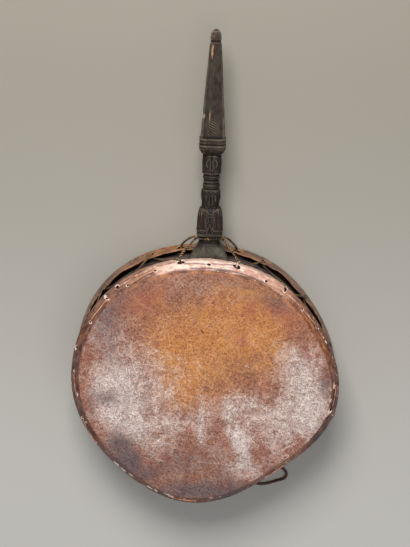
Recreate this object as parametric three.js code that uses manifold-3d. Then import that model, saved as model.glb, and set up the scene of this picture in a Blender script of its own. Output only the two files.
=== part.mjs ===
// A shaman's frame drum: a bent wooden shell between two laced hide heads, with a carved handle.
// Millimetres, +Z up. The drum lies on its back head, and the handle points along +Y.
import * as THREE from 'three';
import { mergeVertices } from 'three/addons/utils/BufferGeometryUtils.js';
import Module from 'manifold-3d';

const wasm = await Module();
wasm.setup();

// Drum
const DRUM_DEPTH = 112; // from the back head's face to the front head's face
const SHELL_RADIUS = 193; // mean outer radius of the bent board
const SHELL_WALL = 7;
const SHELL_ROUNDING = 2; // the bearing edges are eased by this much
const SKIN = 1.4; // hide thickness
const HOOP_THICKNESS = 11; // the cane hoop that each hide is stretched over
const HOOP_SETBACK = 13; // from a head's face to the middle of its hoop
const SKIRT_DEPTH = 34; // from a head's face to the hide's free edge
const SKIRT_LEAN = THREE.MathUtils.degToRad(12); // the skirt draws in below its hoop
const FIT_GAP = 0.3; // clearance between pieces that touch

// Lacing
const LACE_HOLES = 14; // in the front head
const LACE_HOLE_SETBACK = 24; // from a head's face to the middle of its holes
const LACE_HOLE_PLAY = 2; // between a lace or cord and the side of its hole
const LACE_WIDTH = 4;
const LACE_THICKNESS = 1.6;
const LACE_CLEARANCE = 0.8; // between the lace and the hide that it crosses
const LACE_SLANT = 0.88; // share of the way to its next hole at which the lace meets that hole's skirt

// Handle
const HANDLE_LENGTH = 358; // from the shell to the tip
const SADDLE_LENGTH = 31.5; // the flared foot that sits on the shell
const SADDLE_WIDTH = 66;
const SADDLE_CLEARANCE = 5; // between the foot and each head's skirt
const SADDLE_ROOT = 12; // how far the foot is made past the shell, before it is cut to fit
const CARVING_DROP = 3.5; // how far below the groove's top the carving's shares start
const NECK_WIDTH = 31;
const NECK_DEPTH = 27;
const BLOCK_WIDTH = 39;
const BLOCK_DEPTH = 36;
const STEM_WIDTH = 26;
const COLLAR_WIDTH = 41;
const COLLAR_DEPTH = 36;
const BLADE_WIDTH = 38.5; // at its root
const BLADE_TIP_WIDTH = 17.8;
const LEAF_RELIEF = 2.6; // how far the block's four leaves stand out
const PETAL_RELIEF = 2; // the same for the petals on the stem
const INCISION_WIDTH = 1.3; // the lines cut into the blade's three faces
const BINDING_CORD = 4; // thickness of the twisted cords that tie the handle on
const BINDING_MEETS_NECK = THREE.MathUtils.degToRad(25); // where a cord meets the neck, from its widest point

// Loose thong loop at the lower edge
const LOOP_THICKNESS = 4.4;
const LOOP_HOLE_BEARINGS = [161, 145].map(THREE.MathUtils.degToRad);

// How closely the round forms are cut into facets
const RIM_FACETS = LACE_HOLES * 3;
const HOOP_SIDES = 6;
const HOLE_SIDES = 6;
const HANDLE_FACETS = 24;
const CORD_SIDES = 8;
const BINDING_STEPS = 34;
const BINDING_TURNS = 8; // points on the stretch round the neck
const LOOP_STEPS = 28;

// The board was bent by hand, so the outline swings a little in and out of a circle
const OUTLINE_WAVES = [
  { lobes: 1, swing: 0.0252, phase: -0.59 },
  { lobes: 2, swing: 0.0122, phase: -2.95 },
  { lobes: 3, swing: 0.0227, phase: -2.29 },
  { lobes: 4, swing: 0.0185, phase: 0.49 },
  { lobes: 5, swing: 0.0124, phase: 2.91 },
];

// Materials, by what each piece is made of
const material = (color, roughness) => new THREE.MeshStandardMaterial({ color, roughness, metalness: 0 });
const HIDE = material(0x9a6350, 0.55);
const SHELL_WOOD = material(0x4a3d36, 0.7);
const CARVED_WOOD = material(0x2f2622, 0.45);
const CANE = material(0xa9753f, 0.5);
const LACE_HIDE = material(0x6b4a34, 0.6);
const CORD_FIBRE = material(0x8c6a45, 0.65);
const LOOP_LEATHER = material(0x3a1f1a, 0.5);

const hoopRadius = HOOP_THICKNESS / 2;
const hoopCentre = SHELL_RADIUS + FIT_GAP + hoopRadius;
const middle = DRUM_DEPTH / 2;
const holeStep = (2 * Math.PI) / LACE_HOLES;
const laceHoleRadius = LACE_WIDTH / 2 + LACE_HOLE_PLAY;
const lashingHoleRadius = laceHoleRadius + BINDING_CORD / 2; // it holds a lace and a cord side by side
const loopHoleRadius = LOOP_THICKNESS / 2 + LACE_HOLE_PLAY;
const saddleDepth = DRUM_DEPTH - 2 * (SKIRT_DEPTH + SADDLE_CLEARANCE);

// The outline's share of the nominal radius at a bearing, which is 0 at the handle and grows towards +X.
function outlineShare(bearing) {
  const swing = ({ lobes, swing, phase }) => swing * Math.cos(lobes * bearing - phase);
  return OUTLINE_WAVES.reduce((share, wave) => share + swing(wave), 1);
}

// A point beside the rim, by bearing, nominal radius and height.
function rimPoint(bearing, radius, z) {
  const r = radius * outlineShare(bearing);
  return new THREE.Vector3(r * Math.sin(bearing), r * Math.cos(bearing), z);
}

// Moves every vertex of a round form out to the drum's real outline.
function bendToOutline(geometry) {
  const position = geometry.attributes.position;
  for (let i = 0; i < position.count; i++) {
    const x = position.getX(i);
    const y = position.getY(i);
    const share = outlineShare(Math.atan2(x, y));
    position.setXY(i, x * share, y * share);
  }
  return geometry;
}

// A form turned about Z from [radius, height] points, then bent to the drum's outline.
function rimForm(profile) {
  const points = profile.map(([radius, height]) => new THREE.Vector2(radius, height));
  return bendToOutline(new THREE.LatheGeometry(points, RIM_FACETS).rotateX(Math.PI / 2));
}

// Points on an arc, as [x, y], from one angle to another.
function arc(x, y, radius, from, to, steps) {
  return Array.from({ length: steps + 1 }, (_, i) => {
    const angle = from + ((to - from) * i) / steps;
    return [x + radius * Math.cos(angle), y + radius * Math.sin(angle)];
  });
}

function solidOf(geometry) {
  const bare = geometry.clone();
  bare.deleteAttribute('normal');
  bare.deleteAttribute('uv');
  const merged = mergeVertices(bare, 1e-3);
  return new wasm.Manifold(
    new wasm.Mesh({
      numProp: 3,
      vertProperties: merged.attributes.position.array,
      triVerts: new Uint32Array(merged.index.array),
    }),
  );
}

function geometryOf(solid) {
  const mesh = solid.getMesh();
  const geometry = new THREE.BufferGeometry();
  geometry.setAttribute('position', new THREE.BufferAttribute(new Float32Array(mesh.vertProperties), 3));
  geometry.setIndex(new THREE.BufferAttribute(new Uint32Array(mesh.triVerts), 1));
  geometry.computeVertexNormals();
  return geometry;
}

function named(name, geometry, finish) {
  const mesh = new THREE.Mesh(geometry, finish);
  mesh.name = name;
  return mesh;
}

// The bent board between the two heads.
function shellGeometry() {
  const low = SKIN + FIT_GAP;
  const high = DRUM_DEPTH - low;
  const inner = SHELL_RADIUS - SHELL_WALL;
  return rimForm([
    [inner, low],
    [SHELL_RADIUS - SHELL_ROUNDING, low],
    [SHELL_RADIUS, low + SHELL_ROUNDING],
    [SHELL_RADIUS, high - SHELL_ROUNDING],
    [SHELL_RADIUS - SHELL_ROUNDING, high],
    [inner, high],
    [inner, low],
  ]);
}

// A cane hoop, round in section, with its middle at the given height.
function hoopGeometry(z) {
  return rimForm(arc(hoopCentre, z, hoopRadius, 0, 2 * Math.PI, HOOP_SIDES));
}

// The radius of the skirt's surface at a setback from its head's face, below the hoop.
function skirtRadius(setback, offset) {
  const wrap = hoopRadius + FIT_GAP + offset;
  const leaves = HOOP_SETBACK + wrap * Math.sin(SKIRT_LEAN);
  return hoopCentre + wrap * Math.cos(SKIRT_LEAN) - (setback - leaves) * Math.tan(SKIRT_LEAN);
}

// One surface of the hide, from the head's middle over the hoop to the free edge, as [radius, setback].
function skinSurface(offset) {
  const edge = [SHELL_RADIUS - SHELL_ROUNDING / 2 + offset / 2, SKIN - offset];
  const wrap = hoopRadius + FIT_GAP + offset;
  const toHoop = [hoopCentre - edge[0], HOOP_SETBACK - edge[1]];
  const distance = Math.hypot(...toHoop);
  const meets = Math.atan2(toHoop[1], toHoop[0]) - Math.asin(wrap / distance) - Math.PI / 2;
  return [
    [0, SKIN - offset],
    edge,
    ...arc(hoopCentre, HOOP_SETBACK, wrap, meets, SKIRT_LEAN, 2),
    [skirtRadius(SKIRT_DEPTH, offset), SKIRT_DEPTH],
  ];
}

// Bearings of the lace holes: the back head's stand halfway between the front head's.
const frontHoles = Array.from({ length: LACE_HOLES }, (_, i) => (i + 0.5) * holeStep);
const backHoles = Array.from({ length: LACE_HOLES - 1 }, (_, i) => (i + 1) * holeStep);
const lashingHoles = [frontHoles[0], frontHoles[LACE_HOLES - 1]];

// A head: the hide with its holes. heightOf turns a setback from the face into a height.
function headGeometry(profile, holes, heightOf) {
  let hide = solidOf(rimForm(profile));
  const reach = HOOP_THICKNESS + SKIN;
  for (const { bearing, radius } of holes) {
    const corner = radius / Math.cos(Math.PI / HOLE_SIDES);
    const punch = new THREE.CylinderGeometry(corner, corner, reach, HOLE_SIDES);
    punch.rotateY(Math.PI / HOLE_SIDES).rotateZ(-bearing);
    const at = rimPoint(bearing, skirtRadius(LACE_HOLE_SETBACK, SKIN / 2), heightOf(LACE_HOLE_SETBACK));
    hide = hide.subtract(solidOf(punch.translate(at.x, at.y, at.z)));
  }
  return geometryOf(hide);
}

const holesOf = (bearings, radius) => bearings.map((bearing) => ({ bearing, radius }));

function frontHeadGeometry() {
  const heightOf = (setback) => DRUM_DEPTH - setback;
  const surface = [...skinSurface(0), ...skinSurface(SKIN).reverse()];
  const profile = surface.map(([radius, setback]) => [radius, heightOf(setback)]);
  const laced = holesOf(frontHoles.slice(1, -1), laceHoleRadius);
  return headGeometry(profile, [...laced, ...holesOf(lashingHoles, lashingHoleRadius)], heightOf);
}

function backHeadGeometry() {
  const profile = [...skinSurface(SKIN), ...skinSurface(0).reverse()];
  const holes = [
    ...holesOf(backHoles, laceHoleRadius),
    ...holesOf(lashingHoles, lashingHoleRadius),
    ...holesOf(LOOP_HOLE_BEARINGS, loopHoleRadius),
  ];
  return headGeometry(profile, holes, (setback) => setback);
}

// A flat strip bent along points beside the rim, its width lying along the rim.
function laceGeometry(points) {
  const strip = new THREE.BoxGeometry(LACE_WIDTH, LACE_THICKNESS, 1, 1, 1, points.length - 1);
  const frames = points.map((point, i) => {
    const before = points[Math.max(i - 1, 0)];
    const after = points[Math.min(i + 1, points.length - 1)];
    const along = after.clone().sub(before).normalize();
    const bearing = Math.atan2(point.x, point.y);
    const across = new THREE.Vector3(Math.cos(bearing), -Math.sin(bearing), 0);
    across.addScaledVector(along, -across.dot(along)).normalize();
    return { point, across, over: along.clone().cross(across) };
  });
  const position = strip.attributes.position;
  for (let i = 0; i < position.count; i++) {
    const frame = frames[Math.round((position.getZ(i) + 0.5) * (points.length - 1))];
    const moved = frame.point.clone();
    moved.addScaledVector(frame.across, position.getX(i)).addScaledVector(frame.over, position.getY(i));
    position.setXYZ(i, moved.x, moved.y, moved.z);
  }
  return strip;
}

// The long lace: out from under one skirt, across the shell, over the other skirt and in at its hole.
function lacingPoints() {
  const front = (setback) => DRUM_DEPTH - setback;
  const back = (setback) => setback;
  const aside = (BINDING_CORD + FIT_GAP) / 2; // where the lace shares a hole with the handle's cord
  const shift = aside / SHELL_RADIUS;
  const stops = [{ bearing: frontHoles[0] + shift, height: front }];
  backHoles.forEach((bearing, i) => {
    stops.push({ bearing, height: back });
    stops.push({ bearing: frontHoles[i + 1], height: front });
  });
  stops[stops.length - 1].bearing -= shift;
  const half = LACE_THICKNESS / 2 + LACE_CLEARANCE;
  const turn = laceHoleRadius - LACE_CLEARANCE;
  const under = (setback) => skirtRadius(setback, 0) - half - LACE_CLEARANCE;
  const over = (setback) => skirtRadius(setback, SKIN) + half;
  const points = [];
  for (let i = 0; i + 1 < stops.length; i++) {
    const from = stops[i];
    const to = stops[i + 1];
    const bearing = (share) => from.bearing + (to.bearing - from.bearing) * share;
    const near = LACE_HOLE_SETBACK + turn;
    points.push(rimPoint(from.bearing, under(near), from.height(near)));
    points.push(rimPoint(bearing(1 - LACE_SLANT), under(SKIRT_DEPTH), from.height(SKIRT_DEPTH)));
    points.push(rimPoint(bearing(LACE_SLANT), over(SKIRT_DEPTH), to.height(SKIRT_DEPTH)));
    points.push(rimPoint(to.bearing, over(near), to.height(near)));
    points.push(rimPoint(to.bearing, skirtRadius(LACE_HOLE_SETBACK, SKIN / 2), to.height(LACE_HOLE_SETBACK)));
  }
  const last = stops[stops.length - 1];
  points.push(rimPoint(last.bearing, under(LACE_HOLE_SETBACK + turn), last.height(LACE_HOLE_SETBACK + turn)));
  return points;
}

// A round cord along a smooth curve through points.
function cordGeometry(points, thickness, steps) {
  const section = new THREE.Shape(
    arc(0, 0, thickness / 2, 0, 2 * Math.PI, CORD_SIDES)
      .slice(0, -1)
      .map(([x, y]) => new THREE.Vector2(x, y)),
  );
  const extrudePath = new THREE.CatmullRomCurve3(points, false, 'centripetal');
  return new THREE.ExtrudeGeometry(section, { steps, extrudePath });
}

// Handle: each station gives the height above the shell, and the section's width, depth and squareness.
const grooveLength = 2 * BINDING_CORD + 5 * FIT_GAP; // room for both bindings round the neck
const grooveTop = SADDLE_LENGTH + grooveLength;
const carvingStart = grooveTop - CARVING_DROP;
const carvedLength = HANDLE_LENGTH - carvingStart;
const shellFace = SHELL_RADIUS * outlineShare(0);
const ROUND = 2;
const SOFT = 3;
const SQUARE = 4;

// A station of the saddle, whose width and depth are shares of its own at the shell.
const saddle = (share, width, depth, square = SQUARE) => ({
  at: SADDLE_LENGTH * share,
  width: SADDLE_WIDTH * width,
  depth: saddleDepth * depth,
  square,
});

// The height of a share of the carved length, which runs from the neck to the tip.
const carvedHeight = (share) => carvingStart + share * carvedLength;
const carved = (share, width, depth, square) => ({ at: carvedHeight(share), width, depth, square });
const block = (share, size) => carved(share, BLOCK_WIDTH * size, BLOCK_DEPTH * size, SQUARE);
const stem = (share, size) => carved(share, STEM_WIDTH * size, STEM_WIDTH * size, ROUND);
const collar = (share, size) => carved(share, COLLAR_WIDTH * size, COLLAR_DEPTH * size, SQUARE);

// A ring turned on the stem.
const turnedRing = (from, to, size) => [
  stem(from, size * 0.9),
  stem(from + (to - from) * 0.25, size),
  stem(from + (to - from) * 0.75, size),
  stem(to, size * 0.9),
];

const neck = { width: NECK_WIDTH, depth: NECK_DEPTH, square: SOFT };

const stations = [
  { ...saddle(0, 1, 1), at: -SADDLE_ROOT },
  saddle(0.14, 0.94, 1),
  saddle(0.42, 0.79, 1),
  saddle(0.72, 0.62, 0.95, SOFT),
  { ...neck, at: SADDLE_LENGTH },
  { ...neck, at: grooveTop },
  block(0.0125, 0.98),
  block(0.017, 1.03),
  block(0.026, 1.03),
  block(0.03, 0.95),
  block(0.036, 0.98),
  block(0.07, 0.98),
  block(0.1, 0.95),
  block(0.124, 0.91),
  block(0.139, 0.85),
  block(0.149, 0.74),
  stem(0.155, 0.95),
  stem(0.175, 0.96),
  stem(0.205, 1),
  stem(0.228, 1.04),
  stem(0.239, 1.04),
  ...turnedRing(0.247, 0.27, 1),
  ...turnedRing(0.274, 0.286, 0.95),
  ...turnedRing(0.29, 0.312, 0.99),
  stem(0.318, 1.04),
  stem(0.329, 1.04),
  stem(0.36, 1),
  stem(0.39, 0.97),
  stem(0.413, 0.96),
  collar(0.416, 0.74),
  collar(0.427, 0.88),
  collar(0.441, 0.98),
  collar(0.458, 1),
  collar(0.464, 0.9),
  collar(0.47, 0.98),
  collar(0.486, 0.98),
  collar(0.489, 1),
  collar(0.492, 1),
];

// The blade above the collar, by share of the carved length and width. It ends in a small cap.
const bladeStations = [
  { share: 0.48, width: BLADE_WIDTH },
  { share: 0.941, width: BLADE_TIP_WIDTH },
  { share: 0.946, width: BLADE_TIP_WIDTH * 0.88 },
  { share: 0.952, width: BLADE_TIP_WIDTH * 0.96 },
  { share: 0.974, width: BLADE_TIP_WIDTH * 0.88 },
  { share: 0.989, width: BLADE_TIP_WIDTH * 0.66 },
];

// Rings of leaves round the handle, by shares of the carved length. Each leaf rounds off at its tip.
const leafRings = [
  { from: 0.033, to: 0.153, leaves: 4, turn: Math.PI / 4, relief: LEAF_RELIEF, tip: 0.38 },
  { from: 0.156, to: 0.238, leaves: 6, turn: 0, relief: PETAL_RELIEF, tip: 0.3 },
  { from: 0.319, to: 0.414, leaves: 6, turn: 0, relief: PETAL_RELIEF, tip: 0.3 },
];

// How far the leaves stand out of the plain section at a height and angle.
function leafRelief(at, angle) {
  const share = (at - carvingStart) / carvedLength;
  const ring = leafRings.find(({ from, to }) => share > from && share < to);
  if (!ring) return 0;
  const along = (share - ring.from) / (ring.to - ring.from);
  const room = Math.PI / ring.leaves; // from a leaf's middle to the next groove
  const turned = THREE.MathUtils.euclideanModulo(angle - ring.turn + room, 2 * room);
  const offset = Math.abs(turned - room) / room;
  const rounding = Math.max(0, (along - 1 + ring.tip) / ring.tip);
  const width = Math.sqrt(1 - rounding ** 2);
  return ring.relief * (Math.max(0, 1 - (offset / width) ** 2) - 0.4);
}

// Distance from the handle's axis to its surface at a station, in the direction of an angle from +X to +Z.
function sectionRadius(station, angle) {
  const { width, depth, square } = station;
  const across = Math.abs(Math.cos(angle)) / (width / 2);
  const front = Math.abs(Math.sin(angle)) / (depth / 2);
  return (across ** square + front ** square) ** (-1 / square);
}

// A form turned about Y through its stations. placeOf gives a vertex's place from its station and column.
function turnedForm(heights, top, columns, placeOf) {
  const rows = heights.map((at) => new THREE.Vector2(1, at));
  const profile = [new THREE.Vector2(0, heights[0]), ...rows, new THREE.Vector2(0, top)];
  const form = new THREE.LatheGeometry(profile, columns);
  const position = form.attributes.position;
  for (let i = 0; i < position.count; i++) {
    const row = (i % profile.length) - 1;
    const column = Math.floor(i / profile.length) % columns;
    if (row < 0 || row >= heights.length) continue;
    const { radius, angle } = placeOf(row, column);
    position.setX(i, radius * Math.cos(angle));
    position.setZ(i, radius * Math.sin(angle));
  }
  return form;
}

function carvedBody() {
  const heights = stations.map((station) => station.at);
  const top = heights[heights.length - 1];
  return turnedForm(heights, top, HANDLE_FACETS, (row, column) => {
    const angle = Math.PI / 2 - (2 * Math.PI * column) / HANDLE_FACETS;
    return { angle, radius: sectionRadius(stations[row], angle) + leafRelief(stations[row].at, angle) };
  });
}

// The blade has three faces, one of them to the front, and blunted corners between them.
const third = (2 * Math.PI) / 3;
const bluntedCorner = THREE.MathUtils.degToRad(4); // half of the angle that a blunted corner takes
const bladeRadius = (width) => width / 2 / Math.cos(Math.PI / 6 - bluntedCorner);
const bladeFace = (width) => bladeRadius(width) * Math.cos(Math.PI / 3 - bluntedCorner);

function bladeBlank() {
  const heights = bladeStations.map(({ share }) => carvedHeight(share));
  return turnedForm(heights, HANDLE_LENGTH, 6, (row, column) => {
    const side = column % 2 ? bluntedCorner : -bluntedCorner;
    const angle = Math.PI / 6 - third * Math.floor(column / 2) - side;
    return { angle, radius: bladeRadius(bladeStations[row].width) };
  });
}

// The slanting lines cut into the root of each of the blade's faces.
const INCISIONS = { count: 8, from: 0.512, to: 0.6, slant: THREE.MathUtils.degToRad(-31), span: 0.6 };

function incisionSolids() {
  const [root, tip] = bladeStations;
  const solids = [];
  for (let i = 0; i < INCISIONS.count; i++) {
    const share = THREE.MathUtils.lerp(INCISIONS.from, INCISIONS.to, i / (INCISIONS.count - 1));
    const width = THREE.MathUtils.mapLinear(share, root.share, tip.share, root.width, tip.width);
    const faces = i % 2 ? 1 : 3; // the two hidden faces have half as many lines
    for (let face = 0; face < faces; face++) {
      const line = new THREE.BoxGeometry(width * INCISIONS.span, INCISION_WIDTH, INCISION_WIDTH);
      line.rotateX(Math.PI / 4).rotateZ(INCISIONS.slant);
      line.translate(0, carvedHeight(share), bladeFace(width)).rotateY(third * face);
      solids.push(solidOf(line));
    }
  }
  return solids;
}

function handleGeometry() {
  // The foot is cut to the shell's own curve
  const seat = SHELL_RADIUS + FIT_GAP;
  const curve = rimForm([
    [0, 0],
    [seat, 0],
    [seat, DRUM_DEPTH],
    [0, DRUM_DEPTH],
  ]).translate(0, -shellFace, -middle);
  const blank = solidOf(carvedBody()).add(solidOf(bladeBlank()));
  const cuts = [solidOf(curve), ...incisionSolids()];
  return geometryOf(cuts.reduce((solid, cut) => solid.subtract(cut), blank));
}

// A cord from a lashing hole, half round the neck, and back to the other hole.
// side is 1 for the front head's cord, which passes behind the neck, and -1 for the back head's.
function bindingGeometry(side, along) {
  const heightOf = (setback) => middle + side * (middle - setback);
  const clear = BINDING_CORD / 2 + 2 * FIT_GAP;
  const aside = (LACE_WIDTH + FIT_GAP) / 2; // where the cord shares its hole with the lace
  const spread = side < 0 ? BINDING_CORD : 0; // the back head's cord passes outside the other one
  const besideNeck = NECK_WIDTH / 2 + 2 * clear + spread;
  const deep = LACE_HOLE_SETBACK + lashingHoleRadius;
  // From under the skirt, out through its hole and up to the neck, on the way's side of the handle
  const leg = (way) => {
    const bearing = way * (holeStep / 2 - aside / SHELL_RADIUS);
    return [
      rimPoint(bearing, SHELL_RADIUS + clear, heightOf(deep)),
      rimPoint(bearing, skirtRadius(LACE_HOLE_SETBACK, SKIN / 2), heightOf(LACE_HOLE_SETBACK)),
      rimPoint(bearing, skirtRadius(LACE_HOLE_SETBACK, SKIN) + BINDING_CORD, heightOf(LACE_HOLE_SETBACK + 1)),
      new THREE.Vector3(way * besideNeck, shellFace + along, middle - side * clear),
    ];
  };
  const turn = Array.from({ length: BINDING_TURNS + 1 }, (_, i) => {
    const swept = (i / BINDING_TURNS) * (Math.PI - 2 * BINDING_MEETS_NECK);
    const angle = -side * (BINDING_MEETS_NECK + swept);
    const radius = sectionRadius(neck, angle) + clear;
    return new THREE.Vector3(radius * Math.cos(angle), shellFace + along, middle + radius * Math.sin(angle));
  });
  return cordGeometry([...leg(1), ...turn, ...leg(-1).reverse()], BINDING_CORD, BINDING_STEPS);
}

// The loose loop's route, chosen by hand: out of one hole in the back skirt, over the ground, into the other.
const loopRoute = [
  [60.8, -176.6, 24],
  [63.6, -184.8, 24],
  [66.2, -192.4, 23.2],
  [68.8, -199.2, 19.2],
  [72, -205.6, 12.2],
  [77.4, -211.8, 5.8],
  [85, -217.2, 2.8],
  [94, -220.4, 2.5],
  [103.4, -221.1, 2.5],
  [113, -219.2, 2.5],
  [122, -216.3, 2.5],
  [130.6, -213.4, 2.5],
  [138.3, -210.5, 2.5],
  [142.3, -207.8, 2.5],
  [144.4, -203.7, 2.5],
  [144.2, -199, 2.5],
  [141.8, -194.9, 2.5],
  [137.4, -190.5, 2.8],
  [132.8, -185.9, 4.6],
  [128.2, -181.2, 8.6],
  [123.8, -176.3, 14.4],
  [119.8, -171, 20],
  [116, -165.8, 23.4],
  [111.4, -159.2, 24],
  [106.6, -152.2, 24],
].map(([x, y, z]) => new THREE.Vector3(x, y, z));

const drum = new THREE.Group();
drum.add(named('shell', shellGeometry(), SHELL_WOOD));
drum.add(named('front_hoop', hoopGeometry(DRUM_DEPTH - HOOP_SETBACK), CANE));
drum.add(named('back_hoop', hoopGeometry(HOOP_SETBACK), CANE));
drum.add(named('front_head', frontHeadGeometry(), HIDE));
drum.add(named('back_head', backHeadGeometry(), HIDE));
drum.add(named('lacing', laceGeometry(lacingPoints()), LACE_HIDE));
drum.add(named('tail_loop', cordGeometry(loopRoute, LOOP_THICKNESS, LOOP_STEPS), LOOP_LEATHER));

const handle = named('handle', handleGeometry(), CARVED_WOOD);
handle.position.set(0, shellFace, middle);
const low = SADDLE_LENGTH + FIT_GAP + BINDING_CORD / 2;
drum.add(handle);
drum.add(named('front_binding', bindingGeometry(1, low), CORD_FIBRE));
drum.add(named('back_binding', bindingGeometry(-1, low + BINDING_CORD + FIT_GAP), CORD_FIBRE));

export default drum;
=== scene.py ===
"""Dresses a shaman's frame drum: two hides laced over a bent board, with a carved handle tied to its rim.

The drum lies on its back head and the handle points along +Y. Lengths are in metres, and a bearing is the
angle round the drum from the handle towards +X.
"""

import logging
import math
from dataclasses import dataclass, field
from enum import Enum

import bpy
import numpy as np
from mathutils import Matrix, Vector


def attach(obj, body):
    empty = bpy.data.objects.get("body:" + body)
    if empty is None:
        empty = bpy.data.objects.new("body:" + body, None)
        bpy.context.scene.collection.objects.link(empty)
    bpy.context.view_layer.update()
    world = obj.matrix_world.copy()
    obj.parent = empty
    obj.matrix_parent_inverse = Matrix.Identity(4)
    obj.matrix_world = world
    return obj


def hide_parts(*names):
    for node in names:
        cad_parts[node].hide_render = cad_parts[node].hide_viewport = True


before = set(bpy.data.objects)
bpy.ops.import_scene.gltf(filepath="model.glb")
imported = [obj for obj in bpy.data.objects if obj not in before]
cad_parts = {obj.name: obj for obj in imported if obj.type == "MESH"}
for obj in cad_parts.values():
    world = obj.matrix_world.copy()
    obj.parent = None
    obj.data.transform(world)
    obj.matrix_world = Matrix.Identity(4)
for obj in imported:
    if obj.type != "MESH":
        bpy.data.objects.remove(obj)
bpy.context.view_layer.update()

MM = 0.001
TURN = 2 * math.pi
BODY = "root"
THIRDS = (0, 120, 240)
Array = np.ndarray
Socket = bpy.types.NodeSocket
Object = bpy.types.Object
Form = tuple[Array, list[Array]]
Masks = dict[str, Array]
Line = tuple[float, float, float, float, float]

log = logging.getLogger("drum")


class Ripple:
    """A smooth unevenness made of seeded sine waves, about -1 to 1."""

    def __init__(self, seed: int, length: float, waves: int = 22) -> None:
        """Draws the waves.

        Args:
            seed: Makes the unevenness its own and the same each time.
            length: Typical length of one wave.
            waves: How many sine waves are summed.
        """
        rng = np.random.default_rng(seed)
        ways = rng.normal(size=(waves, 3))
        ways /= np.linalg.norm(ways, axis=1, keepdims=True)
        self._ways = ways * (TURN / length) * rng.uniform(0.6, 1.7, (waves, 1))
        self._starts = rng.uniform(0, TURN, waves)

    def __call__(self, places: Array) -> Array:
        """Gives the unevenness at an array of places, whose last axis is x, y, z."""
        waves = np.sin(places @ self._ways.T + self._starts)
        return waves.sum(-1) / math.sqrt(2 * len(self._starts))


def smoothstep(value: Array, low: float, high: float) -> Array:
    """Rises smoothly from 0 at low to 1 at high."""
    share = np.clip((value - low) / (high - low), 0, 1)
    return share * share * (3 - 2 * share)


def bell(offset: Array, width: float) -> Array:
    """Is 1 at no offset and falls away over a width on both sides."""
    return np.exp(-((offset / width) ** 2))


def wrapped(angle: Array | float) -> Array:
    """Brings angles between minus and plus half a turn."""
    return (angle + math.pi) % TURN - math.pi


def off_line(x: Array, y: Array, start: Array, end: Array) -> Array:
    """Measures points from a straight line.

    Args:
        x: The points' first measure.
        y: Their second measure.
        start: Where the line starts.
        end: Where it ends.

    Returns:
        Each point's distance from the line's nearest place.
    """
    run = end - start
    dx, dy = x - start[0], y - start[1]
    share = np.clip((dx * run[0] + dy * run[1]) / (run @ run), 0, 1)
    return np.hypot(dx - share * run[0], dy - share * run[1])


def unit(vectors: Array) -> Array:
    """Gives vectors of length 1 along the last axis."""
    return vectors / np.maximum(np.linalg.norm(vectors, axis=-1, keepdims=True), 1e-12)


def smooth_path(points: Array, step: float) -> Array:
    """Runs a centripetal Catmull-Rom curve through points.

    Args:
        points: The points that the curve passes through, one a row.
        step: Distance between the points that are returned.

    Returns:
        Points along the curve, evenly spaced.
    """
    ends = np.vstack([2 * points[0] - points[1], points, 2 * points[-1] - points[-2]])
    knots = np.concatenate([[0], np.cumsum(np.linalg.norm(np.diff(ends, axis=0), axis=1) ** 0.5)])
    pieces = []
    for i in range(1, len(ends) - 2):
        t = np.linspace(knots[i], knots[i + 1], 24, endpoint=False)[:, None]

        def between(a: Array, b: Array, low: float, high: float) -> Array:
            """Mixes two points by where t lies between two knots."""
            return a * (high - t) / (high - low) + b * (t - low) / (high - low)

        first = between(ends[i - 1], ends[i], knots[i - 1], knots[i])
        second = between(ends[i], ends[i + 1], knots[i], knots[i + 1])
        third = between(ends[i + 1], ends[i + 2], knots[i + 1], knots[i + 2])
        left = between(first, second, knots[i - 1], knots[i + 1])
        right = between(second, third, knots[i], knots[i + 2])
        pieces.append(between(left, right, knots[i], knots[i + 1]))
    curve = np.vstack([*pieces, ends[-2]])
    run = np.concatenate([[0], np.cumsum(np.linalg.norm(np.diff(curve, axis=0), axis=1))])
    stops = np.linspace(0, run[-1], max(2, round(run[-1] / step) + 1))
    return np.stack([np.interp(stops, run, curve[:, axis]) for axis in range(3)], axis=1)


def lattice(rows: int, columns: int) -> Array:
    """Joins a grid of points whose columns close on themselves.

    Args:
        rows: How many rows of points it has.
        columns: How many points each row has.

    Returns:
        Its quads, one a row.
    """
    row, column = np.meshgrid(np.arange(rows - 1), np.arange(columns), indexing="ij")
    after = (column + 1) % columns
    low, high = row * columns, (row + 1) * columns
    return np.stack([low + column, low + after, high + after, high + column], axis=-1).reshape(-1, 4)


def fan(ring: Array, centre: int, flip: bool = False) -> Array:
    """Closes a ring of points with triangles to a centre point.

    Args:
        ring: The ring's points, by number.
        centre: The centre point's number.
        flip: Turns the triangles over.

    Returns:
        The triangles, one a row.
    """
    after = np.roll(ring, -1)
    first, second = (after, ring) if flip else (ring, after)
    return np.stack([first, second, np.full_like(ring, centre)], axis=1)


def make_object(name: str, places: Array, faces: list[Array], masks: Masks) -> Object:
    """Makes a closed mesh object that rides on the drum.

    Args:
        name: The piece's name.
        places: Its points, one a row.
        faces: Arrays of faces, each with one face a row.
        masks: Values from 0 to 1 at each point that its finish reads.

    Returns:
        The new object.
    """
    mesh = bpy.data.meshes.new(name)
    mesh.from_pydata(places.tolist(), [], [face for group in faces for face in group.tolist()])
    mesh.shade_smooth()
    for mask, values in masks.items():
        layer = mesh.attributes.new(mask, "FLOAT", "POINT")
        layer.data.foreach_set("value", np.clip(values, 0, 1).astype(np.float32))
    piece = bpy.data.objects.new(name, mesh)
    bpy.context.scene.collection.objects.link(piece)
    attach(piece, BODY)
    return piece


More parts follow.
